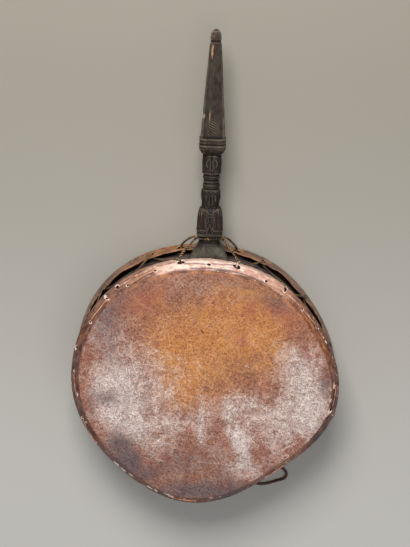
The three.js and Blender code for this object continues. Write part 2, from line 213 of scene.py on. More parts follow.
def sweep(path: Array, section: Array, facing: Array, scale: Array | float = 1.0) -> Form:
    """Runs a section along a path.

    Args:
        path: The middle of the piece, one point a row.
        section: The outline as across, out pairs, counter-clockwise.
        facing: A direction near to out at each point of the path.
        scale: Grows or shrinks the section at each point.

    Returns:
        The points and the faces of the closed form.
    """
    along = unit(np.gradient(path, axis=0))
    across = unit(np.cross(along, facing))
    out = np.cross(across, along)
    size = np.broadcast_to(scale, len(path))[:, None, None]
    rings = across[:, None] * section[None, :, :1] + out[:, None] * section[None, :, 1:]
    places = (path[:, None] + rings * size).reshape(-1, 3)
    sides, last = len(section), len(places) - len(section)
    faces = [lattice(len(path), sides)[:, ::-1]]
    faces.append(fan(np.arange(sides), len(places)))
    faces.append(fan(np.arange(sides) + last, len(places) + 1, flip=True))
    return np.vstack([places, path[0], path[-1]]), faces


def oval(width: float, thickness: float, sides: int, squareness: float = 2.0) -> Array:
    """Gives a rounded outline.

    Args:
        width: Its size across.
        thickness: Its size out.
        sides: How many points it has.
        squareness: 2 for an ellipse, and more for a squarer outline.

    Returns:
        Its points as across, out pairs.
    """
    angle = np.arange(sides) * TURN / sides
    cos, sin = np.cos(angle), np.sin(angle)
    power = 2 / squareness
    across = np.sign(cos) * np.abs(cos) ** power * width / 2
    out = np.sign(sin) * np.abs(sin) ** power * thickness / 2
    return np.stack([across, out], axis=1)


def turned_about(facing: Array, path: Array, angle: Array) -> Array:
    """Turns each facing direction about its path.

    Args:
        facing: The directions, one for each point of the path.
        path: The path's points.
        angle: How far each direction is turned.

    Returns:
        The turned directions.
    """
    along = unit(np.gradient(path, axis=0))
    side = unit(np.cross(along, facing))
    out = np.cross(side, along)
    return out * np.cos(angle)[:, None] + side * np.sin(angle)[:, None]


@dataclass(frozen=True)
class Tone:
    """A colour, as the six hex digits of its sRGB value."""

    digits: str

    def linear(self) -> tuple[float, float, float, float]:
        """Turns the colour into light.

        Returns:
            Linear red, green, blue and alpha.
        """
        parts = [int(self.digits[i : i + 2], 16) / 255 for i in (0, 2, 4)]
        linear = [p / 12.92 if p <= 0.04045 else ((p + 0.055) / 1.055) ** 2.4 for p in parts]
        return (*linear, 1.0)


class Recipe:
    """Mixes one finish out of procedural nodes."""

    def __init__(self, name: str) -> None:
        """Starts a material.

        Args:
            name: The material's name.
        """
        self.material = bpy.data.materials.new(name)
        self.material.use_nodes = True
        self._tree = self.material.node_tree
        self.shader = next(n for n in self._tree.nodes if n.type == "BSDF_PRINCIPLED")
        self._places = self._node("ShaderNodeTexCoord").outputs["Object"]

    def _node(self, kind: str) -> bpy.types.Node:
        """Adds a node of a kind."""
        return self._tree.nodes.new(kind)

    def _feed(self, socket: Socket, value: Socket | float | tuple) -> None:
        """Links a socket to another, or sets its value.

        Args:
            socket: The socket that is fed.
            value: What feeds it: another socket, a tone or a number.
        """
        if isinstance(value, Socket):
            self._tree.links.new(value, socket)
        else:
            socket.default_value = value

    def mask(self, name: str) -> Socket:
        """Reads a mask that the mesh carries."""
        node = self._node("ShaderNodeAttribute")
        node.attribute_name = name
        return node.outputs["Fac"]

    def _vector(self, operation: str, first: Socket, second: Socket | tuple = (0, 0, 0)) -> bpy.types.Node:
        """Adds a sum of two vectors.

        Args:
            operation: What is done with them.
            first: The vector that it starts from.
            second: The other vector, where the sum has one.

        Returns:
            The node.
        """
        node = self._node("ShaderNodeVectorMath")
        node.operation = operation
        self._feed(node.inputs[0], first)
        self._feed(node.inputs[1], second)
        return node

    def math(self, operation: str, first: Socket | float, second: Socket | float = 0.0) -> Socket:
        """Works out one sum of two values.

        Args:
            operation: What is done with them.
            first: The first value.
            second: The second value.

        Returns:
            The result.
        """
        node = self._node("ShaderNodeMath")
        node.operation = operation
        self._feed(node.inputs[0], first)
        self._feed(node.inputs[1], second)
        return node.outputs[0]

    def _joined(self, operation: str, values: tuple[Socket | float, ...]) -> Socket:
        """Works out one sum of several values.

        Args:
            operation: What is done with them.
            values: The values, in order.

        Returns:
            The result.
        """
        total = values[0]
        for value in values[1:]:
            total = self.math(operation, total, value)
        return total

    def times(self, *values: Socket | float) -> Socket:
        """Multiplies values."""
        return self._joined("MULTIPLY", values)

    def plus(self, *values: Socket | float) -> Socket:
        """Adds values."""
        return self._joined("ADD", values)

    def most(self, *values: Socket | float) -> Socket:
        """Gives the highest of some values."""
        return self._joined("MAXIMUM", values)

    def rest(self, value: Socket) -> Socket:
        """Gives what a value leaves of 1."""
        return self.math("SUBTRACT", 1.0, value)

    def band(self, value: Socket, low: float, high: float, start: float = 0.0, end: float = 1.0) -> Socket:
        """Maps a value smoothly from one range to another.

        Args:
            value: The value.
            low: Where the range that it is in starts.
            high: Where that range ends.
            start: What low becomes.
            end: What high becomes.

        Returns:
            The mapped value.
        """
        node = self._node("ShaderNodeMapRange")
        node.interpolation_type = "SMOOTHSTEP"
        for socket, number in zip(("From Min", "From Max", "To Min", "To Max"), (low, high, start, end)):
            node.inputs[socket].default_value = number
        self._feed(node.inputs["Value"], value)
        return node.outputs["Result"]

    def stretched(self, x: float, y: float, z: float) -> Socket:
        """Gives places scaled by a factor along each axis."""
        return self._vector("MULTIPLY", self._places, (x, y, z)).outputs[0]

    def round_rim(self, around: float, up: float) -> Socket:
        """Gives places for grain that runs round the drum, which has no seam.

        Args:
            around: How fast the grain changes along the rim.
            up: How fast it changes with height.

        Returns:
            The places.
        """
        way = self._vector("NORMALIZE", self.stretched(1, 1, 0)).outputs[0]
        far = self._vector("SCALE", way)
        far.inputs["Scale"].default_value = around
        return self._vector("ADD", far.outputs[0], self.stretched(0, 0, up)).outputs[0]

    def noise(
        self, size: float, detail: float = 6, rough: float = 0.6, warp: float = 0, at: Socket | None = None
    ) -> Socket:
        """Gives a cloudy noise.

        Args:
            size: About how large its clouds are.
            detail: How many finer clouds it has.
            rough: How strong they are.
            warp: How far it is stirred.
            at: Where it is read, if not at the plain places.

        Returns:
            A value about 0.5.
        """
        node = self._node("ShaderNodeTexNoise")
        self._feed(node.inputs["Vector"], at or self._places)
        node.inputs["Scale"].default_value = 1 / size
        node.inputs["Detail"].default_value = detail
        node.inputs["Roughness"].default_value = rough
        node.inputs["Distortion"].default_value = warp
        return node.outputs["Fac"]

    def axis(self, index: int) -> Socket:
        """Gives one coordinate of the places."""
        node = self._node("ShaderNodeSeparateXYZ")
        self._feed(node.inputs[0], self._places)
        return node.outputs[index]

    def hairs(self, turn: float, length: float, width: float) -> Socket:
        """Gives fine hair lines that lie about one way.

        Args:
            turn: Their direction in degrees.
            length: Their length.
            width: The distance between them.

        Returns:
            1 on a line and 0 off it.
        """
        node = self._node("ShaderNodeVectorRotate")
        node.rotation_type = "Z_AXIS"
        self._feed(node.inputs["Vector"], self._places)
        node.inputs["Angle"].default_value = math.radians(turn)
        drawn_out = self._vector("MULTIPLY", node.outputs[0], (1 / length, 1 / width, 1 / length)).outputs[0]
        return self.band(self.noise(1.0, 2, 0.5, 0.35, at=drawn_out), 0.6, 0.72)

    def cells(self, size: float) -> Socket:
        """Gives the distance from the middle of cells of a size."""
        node = self._node("ShaderNodeTexVoronoi")
        self._feed(node.inputs["Vector"], self._places)
        node.inputs["Scale"].default_value = 1 / size
        return node.outputs["Distance"]

    def tone(self, value: Socket, *tones: Tone) -> Socket:
        """Runs over tones that are evenly spaced.

        Args:
            value: Where on the way from the first to the last it is, from 0 to 1.
            *tones: The tones.

        Returns:
            The colour there.
        """
        node = self._node("ShaderNodeValToRGB")
        ramp = node.color_ramp
        while len(ramp.elements) < len(tones):
            ramp.elements.new(0.5)
        for i, tone in enumerate(tones):
            ramp.elements[i].position = i / (len(tones) - 1)
            ramp.elements[i].color = tone.linear()
        self._feed(node.inputs["Fac"], value)
        return node.outputs["Color"]

    def cover(self, share: Socket | float, under: Socket | Tone, over: Socket | Tone) -> Socket:
        """Lays one colour over another.

        Args:
            share: How much of it is laid on.
            under: The colour below.
            over: The colour that is laid over it.

        Returns:
            The mixed colour.
        """
        node = self._node("ShaderNodeMix")
        node.data_type = "RGBA"
        self._feed(node.inputs[0], share)
        self._feed(node.inputs[6], under.linear() if isinstance(under, Tone) else under)
        self._feed(node.inputs[7], over.linear() if isinstance(over, Tone) else over)
        return node.outputs[2]

    def scratch(self, start: tuple[float, float], end: tuple[float, float], width: float) -> Socket:
        """Marks a straight scratch across the head.

        Args:
            start: Where it starts, as x and y.
            end: Where it ends.
            width: Half of its width.

        Returns:
            A value of 1 in its middle that falls to 0 at its sides.
        """
        run = (end[0] - start[0], end[1] - start[1])
        length = math.hypot(*run)
        way = (run[0] / length, run[1] / length)
        offset = self._vector("SUBTRACT", self._places, (*start, 0)).outputs[0]

        def along(x: float, y: float) -> Socket:
            """Gives the distance from the start along a direction."""
            return self._vector("DOT_PRODUCT", offset, (x, y, 0)).outputs["Value"]

        across = self.math("ABSOLUTE", along(-way[1], way[0]))
        middle = self.math("ABSOLUTE", self.math("SUBTRACT", along(*way), length / 2))
        ends = self.band(middle, length * 0.35, length * 0.55, 1, 0)
        return self.times(self.band(across, width * 0.3, width, 1, 0), ends)

    def finish(self, colour: Socket, roughness: Socket, height: Socket, depth: float) -> bpy.types.Material:
        """Joins colour, roughness and relief to the shader.

        Args:
            colour: The surface's colour.
            roughness: Its roughness.
            height: Its fine relief, about 0 to 1.
            depth: How deep the relief is.

        Returns:
            The finished material.
        """
        self._feed(self.shader.inputs["Base Color"], colour)
        self._feed(self.shader.inputs["Roughness"], roughness)
        bump = self._node("ShaderNodeBump")
        bump.inputs["Strength"].default_value = 1.0
        bump.inputs["Distance"].default_value = depth
        self._feed(bump.inputs["Height"], height)
        self._feed(self.shader.inputs["Normal"], bump.outputs["Normal"])
        return self.material


@dataclass(frozen=True)
class Pair:
    """The dark and the light tone that a surface is speckled with."""

    dark: Tone
    light: Tone


@dataclass(frozen=True)
class HideFinish:
    """Old smoked hide, ochre where hands rubbed it and dusty beside that, with a painted highlight on the
    upper rim and painted shade on the back rim and in the rim's grooves.
    """

    name: str
    bare: Pair = Pair(Tone("5a3124"), Tone("b57c65"))
    ochre: Pair = Pair(Tone("884820"), Tone("de9c5a"))
    red: Pair = Pair(Tone("873f2c"), Tone("b56c4e"))
    dust: Pair = Pair(Tone("82696a"), Tone("faece4"))
    # grime: tones of dirt and of painted shade; the mask lays painted shade on the back rim and in the rim's
    # grooves, and darkens parts of the face near its edge
    grime_and_shade: Pair = Pair(Tone("3d2f33"), Tone("7d6866"))
    rim: Pair = Pair(Tone("3a1d16"), Tone("804f39"))
    # blush: the upper rim's pale pink, partly the hide's own tone and partly a painted highlight where the
    # light from above falls
    blush: Pair = Pair(Tone("c07e68"), Tone("ffe9dc"))
    worn: tuple[Tone, Tone] = (Tone("cfae94"), Tone("faeee2"))
    gold: Tone = Tone("c87a3c")
    drifts: tuple[Tone, Tone, Tone] = (Tone("cc8a3e"), Tone("96452c"), Tone("8c7076"))
    pits: Tone = Tone("3a211c")
    grooved: float = 0.75
    hairs: tuple[tuple[float, float, float], ...] = ((20, 60, 1.4), (-48, 45, 1.2), (58, 40, 1.3))
    scratches: tuple[Line, ...] = ()
    scars: tuple[Line, ...] = ()

    def make(self) -> bpy.types.Material:
        """Mixes the finish.

        Returns:
            The material, which reads the masks ochre, dust, red, grime, rim, blush, gold and worn.
        """
        r = Recipe(self.name)
        grit = r.noise(2.3 * MM, 5, 0.75, 0.6)
        lengthwise = r.noise(1.0, 4, 0.6, 1.2, at=r.stretched(620, 190, 620))
        crosswise = r.noise(1.0, 4, 0.6, 1.2, at=r.stretched(170, 560, 560))
        fibre = r.noise(8 * MM, 8, 0.75, 1.4)
        cloud = r.noise(34 * MM, 6, 0.6, 0.4)
        drift = r.noise(15 * MM, 5, 0.6, 0.8)
        streaks = r.noise(1.0, 7, 0.68, 0.3, at=r.round_rim(13, 430))
        on_rim = r.mask("rim")
        off_rim = r.rest(on_rim)
        dark, light = self._speckled(r, cloud, r.plus(drift, fibre))
        strands = r.most(lengthwise, crosswise)
        specks = r.plus(r.times(grit, 0.45), r.times(strands, 0.3), r.times(fibre, 0.25))
        mottle = r.plus(r.times(grit, 0.4), r.times(drift, 0.6))
        bands = r.plus(r.times(streaks, self.grooved), r.times(mottle, 1 - self.grooved))
        bands = r.times(r.band(bands, 0.38, 0.62), on_rim)
        specks = r.times(r.band(specks, 0.415, 0.61), off_rim)
        colour = self._drifted(r, r.cover(r.plus(bands, specks), dark, light), off_rim)
        creases = r.noise(1.0, 6, 0.62, 0.4, at=r.stretched(60, 11, 11))
        colour = r.cover(r.times(r.band(creases, 0.5, 0.72, 0, 0.3), off_rim), colour, dark)
        pits = r.times(r.band(r.cells(4.6 * MM), 0.07, 0.17, 1, 0), r.band(drift, 0.4, 0.6, 0.25, 1))
        colour = r.cover(r.times(pits, 0.6), colour, self.pits)
        hairs = r.most(*(r.hairs(turn, length * MM, width * MM) for turn, length, width in self.hairs))
        colour = r.cover(r.times(hairs, r.band(cloud, 0.42, 0.6), off_rim, 0.42), colour, self.worn[0])
        marks = r.times(self._lines(r, self.scratches), r.band(r.noise(4 * MM, 3), 0.42, 0.58))
        colour = r.cover(r.times(marks, 0.65), colour, self.worn[1])
        scars = self._lines(r, self.scars)
        colour = r.cover(r.times(scars, 0.8), colour, self.pits)
        gold = r.times(r.mask("gold"), r.band(streaks, 0.35, 0.6, 0.3, 1))
        colour = r.cover(gold, colour, self.gold)
        # worn: pale wear, and on the upper rim near the handle a painted highlight
        worn = r.plus(r.mask("worn"), r.times(r.plus(grit, streaks, -1.0), 1.3))
        worn = r.times(r.band(worn, 0.3, 0.62), r.band(r.mask("worn"), 0.02, 0.2))
        colour = r.cover(worn, colour, r.tone(r.noise(2.4 * MM, 4), *self.worn))
        rough = r.plus(r.band(fibre, 0.3, 0.7, 0.46, 0.62), r.times(on_rim, -0.12))
        height = r.plus(
            r.times(fibre, 0.55),
            r.times(grit, 0.4),
            r.times(streaks, on_rim, 1.7 * self.grooved),
            r.times(pits, -0.35),
            r.times(r.plus(marks, r.times(scars, -1.6)), 0.35),
        )
        return r.finish(colour, rough, height, 0.9 * MM)

    def _speckled(self, r: Recipe, cloud: Socket, fine: Socket) -> tuple[Socket | Tone, Socket | Tone]:
        """Lays the areas of colour over each other.

        Args:
            r: The recipe.
            cloud: The broad unevenness that breaks an area up.
            fine: The finer one, about 1.

        Returns:
            The dark and the light tone at each place.
        """

        def share(mask: str, cloudy: float, frayed: float, low: float, high: float) -> Socket:
            """Breaks a mask up with broad and fine unevenness.

            Args:
                mask: The mask's name.
                cloudy: How much the broad unevenness does.
                frayed: How much the fine one does.
                low: Where the area starts.
                high: Where it is full.

            Returns:
                How much of the area's colour is laid on.
            """
            broken = r.plus(r.times(r.plus(cloud, -0.5), cloudy), r.times(r.plus(fine, -1.0), frayed))
            value = r.plus(r.mask(mask), broken)
            return r.times(r.band(value, low, high), r.band(r.mask(mask), 0.0, 0.12))

        dark: Socket | Tone = self.bare.dark
        light: Socket | Tone = self.bare.light
        layers = (
            (share("ochre", 1.0, 0.9, -0.05, 1.15), self.ochre),
            (share("dust", 1.25, 1.1, 0.04, 1.15), self.dust),
            (r.times(share("red", 0.8, 0.9, 0.1, 0.9), 0.8), self.red),
            (share("grime_and_shade", 0.4, 0.7, 0.05, 0.95), self.grime_and_shade),
            (r.times(r.mask("rim"), 0.92), self.rim),
            # blush lays the upper rim's pale pink with its painted highlight
            (r.mask("blush"), self.blush),
            # On the rim the grime mask mostly carries painted shade: the back skirt, the pressed grooves and
            # the darker front sides.
            (r.times(r.mask("grime_and_shade"), r.mask("rim"), 0.8), self.grime_and_shade),
        )
        for amount, pair in layers:
            dark = r.cover(amount, dark, pair.dark)
            light = r.cover(amount, light, pair.light)
        return dark, light

    def _drifted(self, r: Recipe, colour: Socket, off_rim: Socket) -> Socket:
        """Stirs golden, reddish and mauve drifts into the face.

        Args:
            r: The recipe.
            colour: The colour so far.
            off_rim: 1 on the face and 0 on the rim.

        Returns:
            The colour with the drifts.
        """
        golden, reddish, mauve = self.drifts
        warm = r.times(r.band(r.noise(26 * MM, 6, 0.65, 0.6), 0.5, 0.68), r.band(r.mask("ochre"), 0.1, 0.7))
        colour = r.cover(r.times(warm, 0.45), colour, golden)
        rusty = r.times(r.band(r.noise(19 * MM, 7, 0.7, 0.8), 0.54, 0.72), off_rim)
        colour = r.cover(r.times(rusty, 0.4), colour, reddish)
        cool = r.times(r.band(r.noise(13 * MM, 7, 0.72, 0.7), 0.53, 0.7), r.band(r.mask("ochre"), 0.5, 0.0))
        return r.cover(r.times(cool, off_rim, 0.36), colour, mauve)

    @staticmethod
    def _lines(r: Recipe, lines: tuple[Line, ...]) -> Socket:
        """Joins several scratches into one value."""
        rows = (np.array(line) * MM for line in lines)
        return r.most(0.0, *(r.scratch(tuple(row[:2]), tuple(row[2:4]), row[4]) for row in rows))


@dataclass(frozen=True)
class WoodFinish:
    """Wood whose grain runs round the drum or along the handle."""

    name: str
    tones: tuple[Tone, Tone, Tone]
    crest: Tone
    hollow: Tone
    sheen: Tone
    polish: float
    bent: bool
    blush: Tone = Tone("3f2119")
    worn: Tone = Tone("a07e5c")
    moss: Tone = Tone("4b4b42")
    specular: float = 0.5

    def make(self) -> bpy.types.Material:
        """Mixes the finish.

        Returns:
            The material, which reads the masks crest, hollow, worn, blush and moss.
        """
        r = Recipe(self.name)
        if self.bent:
            grain = r.noise(1.0, 9, 0.68, 0.3, at=r.round_rim(9, 330))
            coarse = r.noise(1.0, 5, 0.6, 0.2, at=r.round_rim(5, 90))
        else:
            grain = r.noise(1.0, 8, 0.66, 0.6, at=r.stretched(560, 120, 560))
            coarse = r.noise(1.0, 6, 0.62, 0.5, at=r.stretched(110, 46, 110))
        patina = r.noise(16 * MM, 7, 0.66, 0.6)
        fine = r.noise(1.8 * MM, 5, 0.7)
        colour = r.tone(r.band(r.plus(r.times(grain, 0.5), r.times(coarse, 0.5)), 0.34, 0.66), *self.tones)
        colour = r.cover(r.band(r.plus(patina, r.times(fine, 0.3)), 0.56, 0.78, 0, 0.7), colour, self.sheen)
        colour = r.cover(r.times(r.mask("blush"), r.band(coarse, 0.3, 0.7, 0.5, 1)), colour, self.blush)
        uneven = r.plus(r.times(r.plus(patina, -0.5), 2.2), r.times(r.plus(fine, -0.5), 1.6))
        moss = r.band(r.plus(r.mask("moss"), uneven), 0.3, 1.4, 0, 0.9)
        colour = r.cover(r.times(moss, r.mask("moss")), colour, self.moss)
        colour = r.cover(r.times(r.mask("hollow"), 0.9), colour, self.hollow)
        # The crest tone lights raised edges: rubbed wear, and on the handle also a painted highlight along
        # the blade's corners and the carved ridges.
        touched = r.band(r.plus(r.times(grain, 0.5), r.times(patina, 0.5)), 0.38, 0.62, 0.25, 1)
        colour = r.cover(r.times(r.mask("crest"), touched), colour, self.crest)
        worn = r.plus(r.mask("worn"), r.times(r.plus(grain, -0.5), 0.9))
        worn = r.times(r.band(worn, 0.35, 0.75), r.band(r.mask("worn"), 0.02, 0.2))
        colour = r.cover(worn, colour, self.worn)
        r.shader.inputs["Specular IOR Level"].default_value = self.specular
        smoothed = r.band(grain, 0.3, 0.7, self.polish, self.polish + 0.18)
        rough = r.plus(smoothed, r.times(r.mask("hollow"), 0.2))
        height = r.plus(r.times(grain, 0.7), r.times(coarse, 0.6), r.times(fine, 0.35))
        return r.finish(colour, rough, height, 0.5 * MM)


@dataclass(frozen=True)
class ThongFinish:
    """Leather, rawhide or fibre of a lace or cord, light on its crests, as wear and as painted highlight
    where light catches the strands.
    """

    name: str
    dark: Tone
    middle: Tone
    light: Tone
    rough: float = 0.5

    def make(self) -> bpy.types.Material:
        """Mixes the finish.

        Returns:
            The material, which reads the mask crest.
        """
        r = Recipe(self.name)
        blotch = r.noise(11 * MM, 6, 0.65)
        fine = r.noise(1.6 * MM, 5, 0.7)
        colour = r.tone(r.band(r.plus(blotch, r.times(fine, 0.5)), 0.55, 0.95), self.dark, self.middle)
        # crest: the light tone on the strands' crests, as wear and as painted highlight
        crest = r.times(r.mask("crest"), r.band(r.plus(blotch, r.times(fine, 0.6)), 0.6, 0.95, 0.1, 1))
        colour = r.cover(crest, colour, self.light)
        rough = r.band(fine, 0.3, 0.7, self.rough - 0.08, self.rough + 0.14)
        return r.finish(colour, rough, r.plus(fine, blotch), 0.4 * MM)


@dataclass(frozen=True)
class FloorFinish:
    """Pale studio floor with a faint tooth, and painted shade that darkens it towards +Y, at the top of the
    view.
    """

    near: Tone = Tone("c2c1be")
    # far: the darker tone towards +Y, painted shade
    far: Tone = Tone("918d83")

    def make(self) -> bpy.types.Material:
        """Mixes the finish.

        Returns:
            The floor's material.
        """
        r = Recipe("studio_floor")
        soft = r.noise(0.5, 3, 0.5)
        along = r.band(r.plus(r.axis(1), r.times(soft, 0.06)), -0.42, 0.55)
        colour = r.tone(along, self.near, self.far)
        return r.finish(colour, r.band(soft, 0.3, 0.7, 0.75, 0.85), r.noise(6 * MM, 4), 0.1 * MM)


class Facing(Enum):
    """Which way a head faces."""

    FRONT = "front"
    BACK = "back"


@dataclass(frozen=True)
class Rim:
    """The drum's round form: its outline, and how each hide runs over its hoop."""

    depth: float = 112 * MM
    shell_radius: float = 193 * MM
    shell_wall: float = 7 * MM
    shell_rounding: float = 2 * MM
    skin: float = 1.4 * MM
    hoop_thickness: float = 11 * MM
    hoop_setback: float = 13 * MM
    skirt_depth: float = 34 * MM
    skirt_lean: float = math.radians(12)
    gap: float = 0.3 * MM
    lace_holes: int = 14
    hole_setback: float = 24 * MM
    waves: tuple[tuple[int, float, float], ...] = (
        (1, 0.0252, -0.59),
        (2, 0.0122, -2.95),
        (3, 0.0227, -2.29),
        (4, 0.0185, 0.49),
        (5, 0.0124, 2.91),
    )

    @property
    def hoop_radius(self) -> float:
        """Radius of the hoop's own section."""
        return self.hoop_thickness / 2

    @property
    def hoop_centre(self) -> float:
        """Radius from the drum's axis to the middle of a hoop."""
        return self.shell_radius + self.gap + self.hoop_radius

    @property
    def middle(self) -> float:
        """Height of the plane halfway between the heads."""
        return self.depth / 2

    @property
    def hole_step(self) -> float:
        """Bearing from one lace hole to the next."""
        return TURN / self.lace_holes

    def share(self, bearing: Array | float) -> Array:
        """Gives the outline's share of a nominal radius at a bearing."""
        return 1 + sum(swing * np.cos(lobes * bearing - phase) for lobes, swing, phase in self.waves)

    def place(self, bearing: Array | float, radius: Array | float, height: Array | float) -> Array:
        """Gives points round the drum.

        Args:
            bearing: Bearings of the points.
            radius: Their radius on an even round drum.
            height: Their height.

        Returns:
            The points on the uneven drum, with x, y, z on the last axis.
        """
        real = radius * self.share(bearing)
        x, y, z = np.broadcast_arrays(real * np.sin(bearing), real * np.cos(bearing), height)
        return np.stack([x, y, z], axis=-1)

    def height(self, setback: Array | float, facing: Facing) -> Array | float:
        """Turns a setback from a head's face into a height."""
        return self.depth - setback if facing is Facing.FRONT else setback

    def skirt_radius(self, setback: float, offset: float) -> float:
        """Gives the skirt's radius.

        Args:
            setback: Distance from the head's face.
            offset: Distance out from the hide's inner side.

        Returns:
            The radius there.
        """
        wrap = self.hoop_radius + self.gap + offset
        leaves = self.hoop_setback + wrap * math.sin(self.skirt_lean)
        foot = self.hoop_centre + wrap * math.cos(self.skirt_lean)
        return foot - (setback - leaves) * math.tan(self.skirt_lean)

    def skin_line(self, offset: float) -> Array:
        """Follows one side of the hide from the head's middle to its free edge.

        Args:
            offset: Distance out from the hide's inner side.

        Returns:
            Rows of radius and setback, as many for each offset.
        """
        edge = np.array([self.shell_radius - self.shell_rounding / 2 + offset / 2, self.skin - offset])
        wrap = self.hoop_radius + self.gap + offset
        hoop = np.array([self.hoop_centre, self.hoop_setback])
        across, down = hoop - edge
        meets = math.atan2(down, across) - math.asin(wrap / math.hypot(across, down)) - math.pi / 2
        angles = np.linspace(meets, self.skirt_lean, 28)
        arc = hoop + wrap * np.stack([np.cos(angles), np.sin(angles)], axis=1)
        ease = 2.5 * MM
        before = edge - np.array([ease, 0])
        after = edge + unit(arc[0] - edge) * ease
        share = np.linspace(0, 1, 9)[:, None]
        corner = (1 - share) ** 2 * before + 2 * share * (1 - share) * edge + share**2 * after
        face = np.linspace([0, edge[1]], before, 60)[:-1]
        slope = np.linspace(after, arc[0], 12)[1:-1]
        end = [self.skirt_radius(self.skirt_depth, offset), self.skirt_depth]
        skirt = np.linspace(arc[-1], end, 30)[1:]
        return np.vstack([face, corner, slope, arc, skirt])


@dataclass(frozen=True)
class Skin:
    """The hide's two sides as lines to measure along."""

    rim: Rim

    def __post_init__(self) -> None:
        """Works out both lines and the distance along the outer one."""
        outer, inner = self.rim.skin_line(self.rim.skin), self.rim.skin_line(0)
        run = np.concatenate([[0], np.cumsum(np.linalg.norm(np.diff(outer, axis=0), axis=1))])
        object.__setattr__(self, "outer", outer)
        object.__setattr__(self, "inner", inner)
        object.__setattr__(self, "run", run)
        object.__setattr__(self, "out", unit(outer - inner))

    def _read(self, along: Array | float, line: Array) -> tuple[Array, Array]:
        """Reads both columns of a line at a distance along the hide."""
        return np.interp(along, self.run, line[:, 0]), np.interp(along, self.run, line[:, 1])

    @property
    def edge(self) -> float:
        """Distance along the hide to the face's edge."""
        flat_rows = 70
        radius = self.rim.shell_radius - self.rim.shell_rounding / 4
        return float(np.interp(radius, self.outer[:flat_rows, 0], self.run[:flat_rows]))

    def at_setback(self, setback: float) -> float:
        """Gives the distance along the hide where the rim reaches a setback."""
        rim_row = 60
        return float(np.interp(setback, self.outer[rim_row:, 1], self.run[rim_row:]))

    def point(
        self, bearing: Array, along: Array, lift: Array | float, facing: Facing, inner: bool = False
    ) -> Array:
        """Gives points on the hide.

        Args:
            bearing: Bearings of the points.
            along: Their distances along the hide.
            lift: How far they stand off the surface.
            facing: Which head it is.
            inner: True for the hide's inner side.

        Returns:
            The points, with x, y, z on the last axis.
        """
        radius, setback = self._read(along, self.inner if inner else self.outer)
        out, back = self._read(along, self.out)
        return self.rim.place(bearing, radius + out * lift, self.rim.height(setback + back * lift, facing))


@dataclass(frozen=True)
class Hole:
    """A hole punched or torn through a hide's rim."""

    bearing: float
    setback: float
    radius: float
    seed: int
    stretch: float = 1.0
    lip: float = 0.9 * MM
    pale: float = 1.0

    def outline(self, angle: Array) -> Array:
        """Follows the hole's torn outline.

        Args:
            angle: Angles about the hole's middle.

        Returns:
            The radius at each.
        """
        rng = np.random.default_rng(self.seed)
        size = np.ones_like(angle)
        for lobes, swing in ((2, 0.12), (3, 0.11), (5, 0.07), (8, 0.04)):
            size = size + swing * rng.uniform(0.4, 1) * np.cos(lobes * angle - rng.uniform(0, TURN))
        return self.radius * size


@dataclass(frozen=True)
class Patch:
    """A soft-edged area of colour on a head, as shares of 1 at its middle."""

    mask: str
    x: float
    y: float
    wide: float
    long: float
    strength: float
    turn: float = 0.0

    def on(self, places: Array) -> Array:
        """Gives the patch's strength.

        Args:
            places: Places on the head.

        Returns:
            The strength at each.
        """
        cos, sin = math.cos(math.radians(self.turn)), math.sin(math.radians(self.turn))
        x, y = places[..., 0] - self.x * MM, places[..., 1] - self.y * MM
        across, up = x * cos + y * sin, -x * sin + y * cos
        return self.strength * bell(across, self.wide * MM) * bell(up, self.long * MM)


@dataclass(frozen=True)
class RimPatch:
    """A pale stretch of the rim: wear, and near the handle also a painted highlight."""

    bearing: float
    spread: float
    setback: float
    width: float
    strength: float

    def on(self, skin: Skin, bearing: Array, along: Array) -> Array:
        """Gives the worn stretch's strength.

        Args:
            skin: The hide's plain form.
            bearing: Bearings of the places.
            along: Their distances along the hide.

        Returns:
            The strength at each.
        """
        turn = wrapped(bearing - math.radians(self.bearing))
        away = along - skin.at_setback(self.setback * MM)
        return self.strength * bell(turn, math.radians(self.spread)) * bell(away, self.width * MM)


@dataclass(frozen=True)
class Fold:
    """A long groove or ridge pressed into the rim, from one bearing and setback to another."""

    start: tuple[float, float]
    end: tuple[float, float]
    width: float
    height: float
    pale: float = 0.0

    def on(self, skin: Skin, bearing: Array, along: Array) -> Array:
        """Gives the fold's strength.

        Args:
            skin: The hide's plain form.
            bearing: Bearings of the places.
            along: Their distances along the hide.

        Returns:
            The strength at each.
        """
        scale = skin.rim.hoop_centre
        start, end = (
            np.array([math.radians(bearing) * scale, skin.at_setback(setback * MM)])
            for bearing, setback in (self.start, self.end)
        )
        middle = (start[0] + end[0]) / 2 / scale
        turn = (wrapped(bearing - middle) + middle) * scale
        return bell(off_line(turn, along, start, end), self.width)


